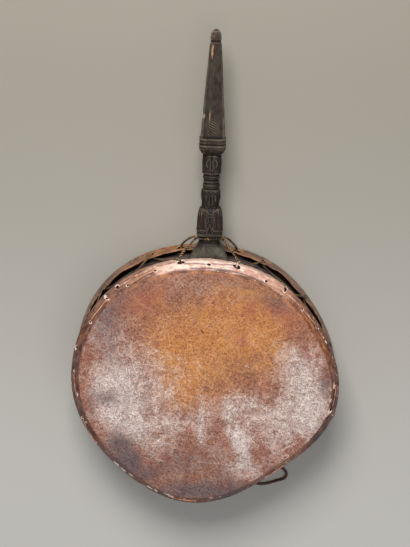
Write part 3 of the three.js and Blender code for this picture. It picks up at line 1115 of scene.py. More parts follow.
@dataclass
class Head:
    """One hide: stretched flat over the shell, bent over its hoop and laced by its skirt."""

    name: str
    node: str
    facing: Facing
    skin: Skin
    holes: list[Hole]
    finish: HideFinish
    slot: str
    seed: int
    patches: tuple[Patch, ...] = ()
    rim_patches: tuple[RimPatch, ...] = ()
    folds: tuple[Fold, ...] = ()
    base: dict[str, float] = field(default_factory=dict)
    columns: int = 600
    ring_step: float = 8 * MM
    rim_step: float = 1.15 * MM
    ragged: float = 1.6 * MM
    edge_lift: float = 0.0
    creases: int = 70

    def _grid(self) -> tuple[Array, Array]:
        """Lays out the hide's grid, whose columns stand closer together at the holes.

        Returns:
            Each point's bearing, and its distance along the hide.
        """
        fine = np.linspace(0, TURN, 7201)
        density = np.full_like(fine, 1.0)
        for hole in self.holes:
            turn = wrapped(fine - hole.bearing)
            reach = max(hole.radius * max(hole.stretch, 1), 2.5 * MM) / self.skin.rim.hoop_centre
            density = np.maximum(density, 1 + 2.2 * bell(turn, 1.3 * reach))
        run = np.concatenate([[0], np.cumsum((density[1:] + density[:-1]) / 2)])
        bearings = np.interp(np.arange(self.columns) / self.columns * run[-1], run, fine)
        fine_from = self.skin.edge - 5 * MM
        rings = np.linspace(0, fine_from, round(fine_from / self.ring_step) + 1)[1:-1]
        end = self.skin.run[-1]
        rows = np.linspace(fine_from, end, round((end - fine_from) / self.rim_step) + 1)
        return np.meshgrid(bearings, np.concatenate([rings, rows]))

    def _off_hole(self, hole: Hole, bearing: Array, along: Array) -> tuple[Array, Array]:
        """Measures points from a hole.

        Args:
            hole: The hole.
            bearing: Bearings of the points.
            along: Their distances along the hide.

        Returns:
            The distance outside the hole's outline, and the angle about its middle.
        """
        centre = self.skin.at_setback(hole.setback)
        turn = wrapped(bearing - hole.bearing)
        across = turn * self.skin.rim.hoop_centre * self.skin.rim.share(hole.bearing) / hole.stretch
        down = along - centre
        angle = np.arctan2(down, across)
        return np.hypot(across, down) - hole.outline(angle), angle

    def _snap(self, hole: Hole, bearing: Array, along: Array, chosen: Array) -> None:
        """Moves points onto a hole's outline.

        Args:
            hole: The hole.
            bearing: The grid's bearings, which are changed.
            along: The grid's distances along the hide, which are changed.
            chosen: Which points are moved.
        """
        angle = self._off_hole(hole, bearing[chosen], along[chosen])[1]
        reach = hole.outline(angle)
        scale = self.skin.rim.hoop_centre * self.skin.rim.share(hole.bearing) / hole.stretch
        bearing[chosen] = hole.bearing + reach * np.cos(angle) / scale
        along[chosen] = self.skin.at_setback(hole.setback) + reach * np.sin(angle)

    def _cut(self, bearing: Array, along: Array, quads: Array) -> Array:
        """Cuts the holes out of the grid.

        Args:
            bearing: The grid's bearings, which are moved at the holes.
            along: The grid's distances along the hide, moved in the same way.
            quads: The grid's faces.

        Returns:
            The faces that stay.
        """
        keep = np.ones(len(quads), bool)
        for hole in self.holes:
            off = self._off_hole(hole, bearing, along)[0].ravel()
            inside = off[quads].mean(axis=1) < 0
            rest = keep & ~inside
            edge = np.intersect1d(quads[inside], quads[rest])
            chosen = np.zeros(bearing.size, bool)
            chosen[edge] = True
            self._snap(hole, bearing, along, chosen.reshape(bearing.shape))
            keep &= ~inside
        return quads[keep]

    def _nearness(self, bearing: Array, along: Array) -> tuple[Array, Array, Array]:
        """Sums what the holes do around them.

        Args:
            bearing: The grid's bearings.
            along: The grid's distances along the hide.

        Returns:
            The raised lips, the pale wear and the stretched folds.
        """
        lip, pale, folds = (np.zeros_like(along) for _ in range(3))
        for hole in self.holes:
            off, angle = self._off_hole(hole, bearing, along)
            off = np.maximum(off, 0)
            rng = np.random.default_rng(hole.seed + 900)
            lobes = np.cos(3 * angle + rng.uniform(0, TURN))
            ragged = 0.65 + 0.35 * lobes * np.cos(angle - rng.uniform(0, TURN))
            side = smoothstep(np.cos(angle - rng.uniform(0, TURN)), -0.5, 0.6)
            side = np.maximum(side, 0.8 * smoothstep(np.cos(2 * angle - rng.uniform(0, TURN)), 0.3, 0.9))
            reach = rng.uniform(0.8, 1.5) * MM
            lip = np.maximum(lip, hole.lip * bell(off, 1.4 * MM) * ragged * (0.4 + 0.6 * side))
            pale = np.maximum(pale, hole.pale * bell(off, reach) * side * (0.5 + 0.5 * ragged))
            rays = np.cos(9 * angle + rng.uniform(0, TURN)) * bell(off - 4 * MM, 6 * MM)
            folds = folds + 0.28 * MM * rays * min(1, hole.radius / (4 * MM))
        return lip, pale, folds

    def _crease_relief(self, bearing: Array, along: Array) -> Array:
        """Draws the shallow creases that run round the rim.

        Args:
            bearing: The grid's bearings.
            along: The grid's distances along the hide.

        Returns:
            How far they stand off the hide.
        """
        rng = np.random.default_rng(self.seed + 11)
        relief = np.zeros_like(along)
        start, end = self.skin.edge, self.skin.run[-1]
        for _ in range(self.creases):
            middle, reach = rng.uniform(0, TURN), rng.uniform(0.05, 0.26)
            level = rng.uniform(start + 1 * MM, end - 2 * MM)
            slant, depth = rng.uniform(-9, 9) * MM, rng.uniform(0.15, 0.5) * MM
            turn = wrapped(bearing - middle)
            line = along - level - slant * turn / reach * 0.3
            relief -= depth * bell(line, 1.1 * MM) * bell(turn, reach)
            relief += 0.7 * depth * bell(line - 2.1 * MM, 1.2 * MM) * bell(turn, reach)
        return relief

    def _relief(self, bearing: Array, along: Array, flat: Array) -> tuple[Array, Array, Array]:
        """Works out how far the hide stands off its plain form.

        Args:
            bearing: The grid's bearings.
            along: The grid's distances along the hide.
            flat: The plain form's points.

        Returns:
            The relief, the part that the inner side shares, and the pale wear beside the holes.
        """
        on_rim = smoothstep(along, self.skin.edge - 3 * MM, self.skin.edge + 2 * MM)
        sag = 1 - smoothstep(along, self.skin.edge - 26 * MM, self.skin.edge - 10 * MM)
        slack = 0.55 * Ripple(self.seed, 90 * MM)(flat) + 0.16 * Ripple(self.seed + 1, 24 * MM)(flat)
        face = sag * slack * MM
        cockle = 0.22 * MM * Ripple(self.seed + 2, 11 * MM)(flat) * on_rim
        ridge = 0.3 * MM * bell(along - self.skin.edge, 1.4 * MM) * (1 + Ripple(self.seed + 3, 20 * MM)(flat))
        lip, pale, folds = self._nearness(bearing, along)
        free = smoothstep(along, self.skin.run[-1] - 14 * MM, self.skin.run[-1])
        beat = 0.5 + 0.5 * np.cos(self.skin.rim.lace_holes * bearing)
        if self.facing is Facing.BACK:
            beat = 1 - beat
        wavy = 0.5 + 0.5 * Ripple(self.seed + 4, 70 * MM)(flat)
        curl = self.edge_lift * free * (0.35 + 0.65 * beat) * wavy
        rim_relief = self._crease_relief(bearing, along) * on_rim
        for fold in self.folds:
            rim_relief = rim_relief + fold.height * fold.on(self.skin, bearing, along)
        shared = face + curl + 0.5 * MM * free * Ripple(self.seed + 5, 17 * MM)(flat)
        return shared + cockle + ridge + lip + folds * on_rim + rim_relief, shared, pale

    def _masks(self, bearing: Array, along: Array, flat: Array, pale: Array, relief: Array) -> Masks:
        """Works out the areas of colour and wear, and of painted highlight and painted shade.

        Args:
            bearing: The grid's bearings.
            along: The grid's distances along the hide.
            flat: The plain form's points.
            pale: The pale wear beside the holes.
            relief: How far the hide stands off its plain form.

        Returns:
            The masks that the finish reads, by name.
        """
        names = ("ochre", "dust", "red", "grime_and_shade")
        masks = {name: np.full_like(along, self.base.get(name, 0)) for name in names}
        for patch in self.patches:
            masks[patch.mask] += patch.on(flat)
        turn = np.degrees(wrapped(bearing))
        front = float(self.facing is Facing.FRONT)
        back = 1 - front
        past_edge = along - self.skin.edge
        past_end = along - self.skin.run[-1]
        uneven = Ripple(self.seed + 6, 8 * MM)(flat)
        broad = Ripple(self.seed + 9, 30 * MM)(flat)
        above = front * (1 - smoothstep(np.abs(turn - 4), 30, 68))
        # lit: the stretch of the upper rim that gets the painted highlight
        lit = front * (1 - smoothstep(np.abs(turn - 6), 22, 40)) * (0.66 + 0.34 * bell(turn - 3, 17))
        right = front * smoothstep(turn, 30, 42) * (1 - smoothstep(turn, 74, 92))
        left = front * smoothstep(-turn, 14, 24) * smoothstep(turn, -66, -58)
        below = front * smoothstep(np.abs(turn), 113, 128)
        start = (0.5 - 3.5 * above + 2 * below + 0.8 * uneven) * MM
        on_rim = smoothstep(past_edge, start - 1 * MM, start + 1.6 * MM)
        rim = on_rim * (1 - 0.88 * below * (1 - smoothstep(past_edge, 12 * MM, 18 * MM)))
        up = smoothstep(past_edge + 2 * MM * broad, 0.5 * MM, 6 * MM)
        # blush: pale pink on the upper rim, partly the hide's colour and partly a painted highlight from the
        # light above
        blush = on_rim * (0.9 * lit * up + 0.2 * above * (0.7 + 0.5 * broad) * np.maximum(up, 0.3))
        warm = front * (bell(turn + 28, 13) + bell(turn - 36, 14))
        lens = back * bell(turn + 19, 11)
        gold = np.maximum.reduce([
            above * bell(past_edge - start - 1.2 * MM, 1.4 * MM) * (0.7 + 0.4 * broad),
            0.5 * right * bell(past_edge - 5 * MM, 4.5 * MM) * (0.8 + 0.4 * uneven),
            0.45 * warm * on_rim * (0.7 + 0.5 * uneven),
            0.25 * left * on_rim * bell(past_edge - 7 * MM, 4 * MM),
            0.3 * lens * on_rim * (0.8 + 0.5 * uneven),
            # The back skirt's free edge is laid in gold, as worn edge and as painted highlight.
            0.8 * back * bell(past_end, 1.6 * MM) * smoothstep(broad, -0.2, 0.8),
        ])
        worn = np.maximum.reduce([
            pale,
            bell(past_end, 1.4 * MM) * (0.35 + 0.5 * uneven),
            0.45 * bell(past_edge, 1 * MM) * smoothstep(uneven, 0.2, 1) * (1 - above),
            0.45 * on_rim * smoothstep(relief, 0.45 * MM, 0.9 * MM) * smoothstep(uneven, 0, 1),
        ])
        # far_left and far_right darken the front rim's left and right sides through the grime mask.
        far_left = smoothstep(-turn, 66, 76) * (1 - smoothstep(-turn, 131.8, 149))
        far_right = smoothstep(turn, 86, 92) * (1 - smoothstep(turn, 111.7, 126))
        # shade: painted shade on the back skirt, a little everywhere and strongly beyond about 30 degrees
        # from the handle, except in the golden lens
        shade = back * (0.3 + 0.7 * smoothstep(np.abs(turn + 6), 16, 34) * (1 - lens))
        masks["grime_and_shade"] = np.maximum.reduce([
            masks["grime_and_shade"],
            0.5 * front * np.maximum(far_left, far_right) * on_rim * (1 + 0.4 * uneven),
            0.75 * shade * on_rim * (0.8 + 0.4 * broad),
        ])
        # Rim patches lay pale wear, and near the handle a painted highlight, into the worn mask.
        for patch in self.rim_patches:
            worn = np.maximum(worn, patch.on(self.skin, bearing, along) * (0.75 + 0.5 * uneven))
        for fold in self.folds:
            near = fold.on(self.skin, bearing, along)
            worn = np.maximum(worn, fold.pale * near * (0.8 + 0.4 * uneven))
            # A pressed groove gets painted shade: the grime mask darkens it and the blush highlight is taken
            # out of it.
            if fold.height < 0:
                masks["grime_and_shade"] = np.maximum(masks["grime_and_shade"], 0.9 * near)
                blush = blush * (1 - 0.8 * near)
        return {**masks, "rim": rim, "blush": blush, "gold": gold, "worn": worn}

    def build(self) -> Object:
        """Builds the hide as one closed sheet with a true thickness.

        Returns:
            The dressed piece, which stands for the plain head.
        """
        bearing, along = self._grid()
        rows, columns = bearing.shape
        quads = self._cut(bearing, along, lattice(rows, columns))
        flat = self.skin.point(bearing, along, 0, self.facing)
        relief, shared, pale = self._relief(bearing, along, flat)
        masks = self._masks(bearing, along, flat, pale, relief)
        end = self.skin.run[-1]
        stretch = smoothstep(along, self.skin.at_setback(self.skin.rim.hole_setback + 5 * MM), end)
        tear = Ripple(self.seed + 7, 60 * MM)(flat) + 0.6 * Ripple(self.seed + 8, 12 * MM)(flat)
        moved = along - stretch * self.ragged * np.maximum(tear, -0.8)
        outer = self.skin.point(bearing, moved, relief, self.facing).reshape(-1, 3)
        inner = self.skin.point(bearing, moved, shared, self.facing, inner=True).reshape(-1, 3)
        count = len(outer)
        zero = np.zeros(1)
        middle = [self.skin.point(zero, zero, 0, self.facing, inner=side)[0] for side in (False, True)]
        places = np.vstack([outer, inner, *middle])
        caps = [fan(np.arange(columns), 2 * count, flip=True), fan(np.arange(columns) + count, 2 * count + 1)]
        walls = self._walls(quads, columns, count)
        faces = [quads, quads[:, ::-1] + count, caps[0], caps[1], walls]
        if self.facing is Facing.FRONT:
            faces = [group[:, ::-1] for group in faces]
        values = {name: np.concatenate([m.ravel(), m.ravel() * 0.3, [0, 0]]) for name, m in masks.items()}
        piece = make_object(self.name, *self._used(places, faces, values))
        piece.data.materials.append(self.finish.make())
        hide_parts(self.node)
        return piece

    def _walls(self, quads: Array, columns: int, count: int) -> Array:
        """Joins the hide's two sides along its free edge and round every hole.

        Args:
            quads: The faces of the outer side.
            columns: How many columns the grid has.
            count: How many points each side has.

        Returns:
            The faces between the two sides.
        """
        starts, ends = quads.ravel(), np.roll(quads, -1, axis=1).ravel()
        key, back = starts * count + ends, ends * count + starts
        open_edge = ~np.isin(key, back)
        starts, ends = starts[open_edge], ends[open_edge]
        outside = ~((starts < columns) & (ends < columns))
        starts, ends = starts[outside], ends[outside]
        return np.stack([ends, starts, starts + count, ends + count], axis=1)

    @staticmethod
    def _used(places: Array, faces: list[Array], values: Masks) -> tuple[Array, list[Array], Masks]:
        """Drops the points that no face uses.

        Args:
            places: The points.
            faces: The faces, by the numbers of their points.
            values: The masks' values at the points.

        Returns:
            The same three without those points.
        """
        used = np.unique(np.concatenate([group.ravel() for group in faces]))
        index = np.zeros(len(places), int)
        index[used] = np.arange(len(used))
        return places[used], [index[group] for group in faces], {name: v[used] for name, v in values.items()}


@dataclass
class Shell:
    """The bent board between the heads, and the cane hoop under each hide."""

    rim: Rim
    columns: int = 504
    wood: WoodFinish = WoodFinish(
        "bent_board",
        (Tone("2a201f"), Tone("4f4140"), Tone("70605b")),
        Tone("8a6a55"),
        Tone("191210"),
        Tone("66605c"),
        0.5,
        bent=True,
    )
    # The cane's tones are painted near black as shade, so that the hoop seen through the front hide's holes
    # reads as the dark inside of each hole.
    cane: WoodFinish = WoodFinish(
        "cane",
        (Tone("0d0805"), Tone("1c120c"), Tone("2c1d14")),
        Tone("33241a"),
        Tone("0a0604"),
        Tone("1e1611"),
        0.6,
        bent=True,
        specular=0.1,
    )

    def _ring(self, name: str, profile: Array, relief: float, seed: int) -> Object:
        """Turns a closed profile into a ring.

        Args:
            name: The piece's name.
            profile: Its section, as rows of radius and height.
            relief: How uneven its surface is.
            seed: Makes the unevenness its own.

        Returns:
            The ring.
        """
        bearing = (np.arange(self.columns) * TURN / self.columns)[None, :]
        places = self.rim.place(bearing, profile[:, :1], profile[:, 1:])
        way = unit(places * np.array([1, 1, 0]))
        centre = profile[:, :1].mean()
        outward = np.sign(profile[:, :1] - centre)[..., None]
        uneven = Ripple(seed, 40 * MM)(places * np.array([1, 1, 2.5]))[..., None]
        places = places - way * outward * relief * (0.5 + 0.5 * uneven)
        loop = lattice(len(profile), self.columns)
        first, last = np.arange(self.columns), np.arange(self.columns) + (len(profile) - 1) * self.columns
        seam = np.stack([last, np.roll(last, -1), np.roll(first, -1), first], axis=1)
        count = places.shape[0] * places.shape[1]
        masks = {mask: np.zeros(count) for mask in ("crest", "hollow", "worn", "blush", "moss")}
        level = profile[:, 1]
        edge = bell(level - level.max(), 3 * MM) + bell(level - level.min(), 3 * MM)
        masks["crest"] = (np.repeat(edge, self.columns).reshape(places.shape[:2]) * 0.5).ravel()
        return make_object(name, places.reshape(-1, 3), [loop, seam], masks)

    def build(self) -> list[Object]:
        """Builds the board and the two hoops.

        Returns:
            The board, then the front and the back hoop.
        """
        rim = self.rim
        low = rim.skin + rim.gap
        high = rim.depth - low
        inner, outer = rim.shell_radius - rim.shell_wall, rim.shell_radius
        ease = rim.shell_rounding
        corner = np.linspace(0, math.pi / 2, 5)
        foot = [[outer - ease + ease * math.sin(a), low + ease - ease * math.cos(a)] for a in corner]
        head = [[outer - ease + ease * math.cos(a), high - ease + ease * math.sin(a)] for a in corner]
        wall = [[outer, h] for h in np.linspace(low + ease, high - ease, 26)[1:-1]]
        inside = [[inner, h] for h in np.linspace(high, low, 24)]
        board = self._ring("bent_shell", np.array(foot + wall + head + inside), 0.35 * MM, 5)
        board.data.materials.append(self.wood.make())
        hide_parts("shell")
        pieces = [board]
        cane = self.cane.make()
        for name, height in (("front_hoop", rim.depth - rim.hoop_setback), ("back_hoop", rim.hoop_setback)):
            angle = np.arange(20) * TURN / 20
            radius = rim.hoop_radius - 0.1 * MM
            out, up = radius * np.cos(angle), radius * np.sin(angle)
            section = np.stack([rim.hoop_centre + out, height + up], axis=1)
            hoop = self._ring(f"{name}_cane", section, 0.15 * MM, 7)
            hoop.data.materials.append(cane)
            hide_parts(name)
            pieces.append(hoop)
        return pieces


@dataclass(frozen=True)
class Ring:
    """A ring of leaves carved round the handle, by shares of the carved length."""

    start: float
    end: float
    leaves: int
    turn: float
    relief: float
    tip: float


@dataclass(frozen=True)
class Stroke:
    """A carved line: a ridge if its height is above 0, and a groove if it is below."""

    points: tuple[tuple[float, float], ...]
    width: float
    height: float
    turns: tuple[float, ...] = (0, 90, 180, 270)


@dataclass
class Handle:
    """The carved handle: a flared foot, a block of leaves, a petalled stem and a three-faced blade."""

    rim: Rim
    length: float = 358 * MM
    saddle_length: float = 31.5 * MM
    saddle_width: float = 66 * MM
    saddle_clearance: float = 5 * MM
    carving_drop: float = 3.5 * MM
    neck_width: float = 31 * MM
    neck_depth: float = 27 * MM
    block_width: float = 39 * MM
    block_depth: float = 36 * MM
    stem_width: float = 26 * MM
    collar_width: float = 41 * MM
    collar_depth: float = 36 * MM
    blade_width: float = 38.5 * MM
    blade_tip_width: float = 17.8 * MM
    binding: float = 4 * MM
    columns: int = 180
    blunted: float = math.radians(4)
    finish: WoodFinish = WoodFinish(
        "carved_wood",
        (Tone("140d09"), Tone("2a1f18"), Tone("45372d")),
        Tone("6f6454"),
        Tone("050302"),
        Tone("37342c"),
        0.44,
        bent=False,
        moss=Tone("57564c"),
        specular=0.25,
    )
    rings: tuple[Ring, ...] = (
        Ring(0.033, 0.153, 4, math.pi / 4, 2.6 * MM, 0.38),
        Ring(0.156, 0.238, 6, 0, 2 * MM, 0.3),
        Ring(0.319, 0.414, 6, 0, 2 * MM, 0.3),
    )
    strokes: tuple[Stroke, ...] = (
        Stroke(((6.8, 0.158), (2.6, 0.13)), 0.9, 0.9),
        Stroke(((2.6, 0.13), (5.5, 0.138), (8.5, 0.147), (12.5, 0.149), (16.5, 0.14), (18, 0.12)), 0.8, 0.7),
        Stroke(((0, 0.1245), (3.4, 0.1245)), 0.8, 0.9),
        Stroke(((0, 0.114), (4.2, 0.112)), 0.8, 0.9),
        Stroke(((0, 0.119), (3.6, 0.119)), 0.8, -1.0),
        Stroke(((1.2, 0.106), (3.2, 0.098), (1.0, 0.092), (3.6, 0.084)), 0.7, 0.8),
        Stroke(((0, 0.078), (1.6, 0.06), (4.6, 0.03)), 0.9, 0.7),
        Stroke(((0, 0.064), (2.6, 0.034)), 1.0, -0.8),
        Stroke(((3.5, 0.058), (6.5, 0.0455), (15, 0.0455), (18.5, 0.041)), 1.0, 1.0),
        Stroke(((7, 0.039), (15, 0.039), (18.5, 0.036)), 0.9, -0.9),
        Stroke(((5.2, 0.125), (6.2, 0.09), (5.4, 0.062)), 0.8, 0.6),
        Stroke(((11, 0.13), (10, 0.09), (11.5, 0.06)), 1.6, -0.5),
        Stroke(((0, 0.229), (3, 0.2375), (6.8, 0.2405), (10.5, 0.2375), (13.6, 0.229)), 0.7, 0.8, THIRDS),
        Stroke(((0, 0.222), (3, 0.231), (6.8, 0.234), (10.5, 0.231), (13.6, 0.222)), 0.7, -0.7, THIRDS),
        Stroke(((6.8, 0.214), (6.9, 0.196), (6.6, 0.188)), 1.5, 0.9, THIRDS),
        Stroke(((3.4, 0.21), (4.4, 0.19), (6.6, 0.18), (8.8, 0.19), (9.6, 0.212)), 0.8, -0.8, THIRDS),
        Stroke(((1.4, 0.216), (2.4, 0.19), (2, 0.168)), 0.7, 0.5, THIRDS),
        Stroke(((3.8, 0.405), (1.4, 0.378), (2.2, 0.35), (0.8, 0.338)), 0.8, 0.8, THIRDS),
        Stroke(((5, 0.392), (7.4, 0.378), (7.6, 0.364), (5.8, 0.356)), 1.2, 0.9, THIRDS),
        Stroke(((4.4, 0.396), (4.6, 0.37), (5.4, 0.348)), 0.9, -0.9, THIRDS),
        Stroke(((1, 0.406), (4, 0.41), (6.8, 0.406), (7.8, 0.398)), 0.8, 0.8, THIRDS),
        Stroke(((0, 0.332), (5, 0.326), (9, 0.332), (13.6, 0.326)), 0.8, -0.8, THIRDS),
    )

    @property
    def saddle_depth(self) -> float:
        """Depth of the foot at the shell."""
        return self.rim.depth - 2 * (self.rim.skirt_depth + self.saddle_clearance)

    @property
    def groove_top(self) -> float:
        """Height where the carving starts, above the bindings' groove."""
        return self.saddle_length + 2 * self.binding + 5 * self.rim.gap

    @property
    def carving_start(self) -> float:
        """Height that the carving's shares are counted from."""
        return self.groove_top - self.carving_drop

    @property
    def carved_length(self) -> float:
        """Length that the carving's shares are of, up to the tip."""
        return self.length - self.carving_start

    @property
    def shell_face(self) -> float:
        """Distance from the drum's axis to the shell below the handle."""
        return float(self.rim.shell_radius * self.rim.share(0.0))

    def _stations(self) -> Array:
        """Lists the sections of the plain form.

        Returns:
            Rows of height, width, depth and squareness, from the shell to the collar.
        """
        foot = [(0, 1, 1, 4), (0.14, 0.94, 1, 4), (0.42, 0.79, 1, 4), (0.72, 0.62, 0.95, 3)]
        scale = np.array([self.saddle_length, self.saddle_width, self.saddle_depth, 1])
        rows = [tuple(scale * row) for row in foot]
        rows += [(at, self.neck_width, self.neck_depth, 3) for at in (self.saddle_length, self.groove_top)]

        def add(kind: str, *shares: tuple[float, float]) -> None:
            """Adds stations of one kind.

            Args:
                kind: Whose width and depth they take.
                *shares: Each one's share of the carved length, and its size.
            """
            width, depth, square = {
                "block": (self.block_width, self.block_depth, 4),
                "stem": (self.stem_width, self.stem_width, 2),
                "collar": (self.collar_width, self.collar_depth, 4),
            }[kind]
            for at, size in shares:
                along = self.carving_start + at * self.carved_length
                rows.append((along, width * size, depth * size, square))

        add("block", (0.0125, 0.98), (0.017, 1.03), (0.026, 1.03), (0.03, 0.95), (0.036, 0.98), (0.07, 0.98))
        add("block", (0.1, 0.95), (0.124, 0.91), (0.139, 0.85), (0.149, 0.74))
        add("stem", (0.155, 0.95), (0.175, 0.96), (0.205, 1), (0.228, 1.04), (0.239, 1.04))
        for start, end, size in ((0.247, 0.27, 1), (0.274, 0.286, 0.95), (0.29, 0.312, 0.99)):
            quarter = (end - start) / 4
            add("stem", (start, size * 0.9), (start + quarter, size))
            add("stem", (end - quarter, size), (end, size * 0.9))
        add("stem", (0.318, 1.04), (0.329, 1.04), (0.36, 1), (0.39, 0.97), (0.413, 0.96))
        add("collar", (0.416, 0.74), (0.427, 0.88), (0.441, 0.98), (0.458, 1), (0.464, 0.9), (0.47, 0.98))
        add("collar", (0.486, 0.98), (0.489, 1), (0.492, 1))
        return np.array(rows)

    def _leaves(self, share: Array, angle: Array) -> Array:
        """Raises the rings of leaves.

        Args:
            share: Share of the carved length at each point.
            angle: Its angle about the handle.

        Returns:
            How far the leaves stand out of the plain section.
        """
        relief = np.zeros(np.broadcast_shapes(share.shape, angle.shape))
        for ring in self.rings:
            inside = (share > ring.start) & (share < ring.end)
            along = np.clip((share - ring.start) / (ring.end - ring.start), 0, 1)
            room = math.pi / ring.leaves
            offset = np.abs((angle - ring.turn + room) % (2 * room) - room) / room
            width = np.sqrt(np.clip(1 - np.clip((along - 1 + ring.tip) / ring.tip, 0, 1) ** 2, 0.003, 1))
            swell = np.maximum(0, 1 - (offset / width) ** 2)
            relief = relief + np.where(inside, ring.relief * (swell - 0.4), 0)
        return relief

    def _stroke_relief(self, height: Array, angle: Array, radius: Array) -> tuple[Array, Array, Array]:
        """Carves the fine strokes.

        Args:
            height: Height of each row.
            angle: Angle of each column.
            radius: Plain radius at each point.

        Returns:
            The relief, and masks of its crests and hollows.
        """
        relief, crest, hollow = (np.zeros_like(radius) for _ in range(3))
        for stroke in self.strokes:
            for turn in stroke.turns:
                for side in (1, -1):
                    away = wrapped(angle - math.pi / 2 - math.radians(turn))
                    across = -side * away * radius
                    near = np.full_like(radius, np.inf)
                    shares = [self.carving_start + share * self.carved_length for _, share in stroke.points]
                    rows = (height[:, 0] > min(shares) - 4 * MM) & (height[:, 0] < max(shares) + 4 * MM)
                    for (x1, s1), (x2, s2) in zip(stroke.points, stroke.points[1:]):
                        start = np.array([x1 * MM, self.carving_start + s1 * self.carved_length])
                        end = np.array([x2 * MM, self.carving_start + s2 * self.carved_length])
                        near[rows] = np.minimum(near[rows], off_line(across[rows], height[rows], start, end))
                    line = bell(near, stroke.width * MM)
                    if stroke.height > 0:
                        relief = np.maximum(relief, line * stroke.height * MM)
                        crest = np.maximum(crest, bell(near, 0.8 * stroke.width * MM))
                    else:
                        relief = relief + line * stroke.height * MM
                        hollow = np.maximum(hollow, line)
        return relief, crest, hollow

    def _blade_width(self, share: Array) -> Array:
        """Gives the blade's width at a share of the carved length."""
        shares = [0.48, 0.938, 0.943, 0.948, 0.955, 0.974, 0.989, 0.997, 1.0]
        of_tip = np.array([1, 0.86, 0.86, 0.97, 0.9, 0.72, 0.5, 0.3])
        return np.interp(share, shares, [self.blade_width, *(self.blade_tip_width * of_tip)])

    def _blade_radius(self, width: Array, angle: Array) -> Array:
        """Shapes the blade's section.

        Args:
            width: The blade's width at each row.
            angle: Angles about the handle.

        Returns:
            The radius of a three-sided section with blunted corners.
        """
        corner = width / 2 / math.cos(math.pi / 6 - self.blunted)
        face = corner * math.cos(math.pi / 3 - self.blunted)
        blunt = corner * math.cos(self.blunted)
        radius = np.full(np.broadcast_shapes(width.shape, angle.shape), np.inf)
        for normal, reach in [(90, face), (210, face), (330, face), (30, blunt), (150, blunt), (270, blunt)]:
            cos = np.cos(angle - math.radians(normal))
            radius = np.minimum(radius, np.where(cos > 0.2, reach / np.maximum(cos, 0.2), np.inf))
        return radius

    def _incisions(self, share: Array, angle: Array, radius: Array) -> tuple[Array, Array]:
        """Cuts slanting lines and a finer hatch into the blade's three faces.

        Args:
            share: Share of the carved length at each row.
            angle: Angle of each column.
            radius: Radius at each point.

        Returns:
            The depth of the cuts, and a mask of the crests between them.
        """
        depth, crest = np.zeros_like(radius), np.zeros_like(radius)
        for face in (90, 210, 330):
            away = wrapped(angle - math.radians(face))
            on_face = np.abs(away) < math.radians(52)
            across = radius * np.sin(-away)
            height = share * self.carved_length
            span = 0.31 * self._blade_width(share)
            inside = on_face * smoothstep(span - np.abs(across), 0, 1.2 * MM)
            slant = math.tan(math.radians(31))
            lines = (height + across * slant) / (3.7 * MM) + 0.35 * Ripple(41, 30 * MM)(
                np.stack(np.broadcast_arrays(across, height * np.ones_like(across), across), axis=-1)
            )
            strong = inside * smoothstep(share, 0.508, 0.514) * (1 - smoothstep(share, 0.572, 0.585))
            wave = 0.5 + 0.5 * np.cos(TURN * lines)
            depth = depth + 0.85 * MM * strong * wave**2.2
            crest = np.maximum(crest, strong * (1 - wave) ** 1.5)
            cross = (height - across * slant * 1.3) / (3.1 * MM)
            other = (height + across * slant * 1.3) / (3.1 * MM)
            faint = inside * smoothstep(share, 0.578, 0.59) * (1 - smoothstep(share, 0.64, 0.665))
            hatch = np.maximum(0.5 + 0.5 * np.cos(TURN * cross), 0.5 + 0.5 * np.cos(TURN * other)) ** 5
            depth = depth + 0.4 * MM * faint * hatch
            crest = np.maximum(crest, 0.45 * faint * (1 - hatch))
        return depth, crest

    def _heights(self) -> Array:
        """Lays out the rows of the mesh.

        Returns:
            The height of each row, closer together where the carving is fine.
        """
        top = self.carving_start
        run = self.carved_length
        stops = [
            (0.0, self.saddle_length, 1.3),
            (self.saddle_length, self.groove_top, 0.7),
            (self.groove_top, top + 0.345 * run, 0.56),
            (top + 0.345 * run, top + 0.5 * run, 0.62),
            (top + 0.5 * run, top + 0.665 * run, 0.62),
            (top + 0.665 * run, top + 0.93 * run, 1.9),
            (top + 0.93 * run, self.length, 0.8),
        ]
        rows = []
        for start, end, step in stops:
            count = max(2, round((end - start) / (step * MM)))
            rows.append(np.linspace(start, end, count, endpoint=False))
        return np.concatenate([*rows, [self.length]])

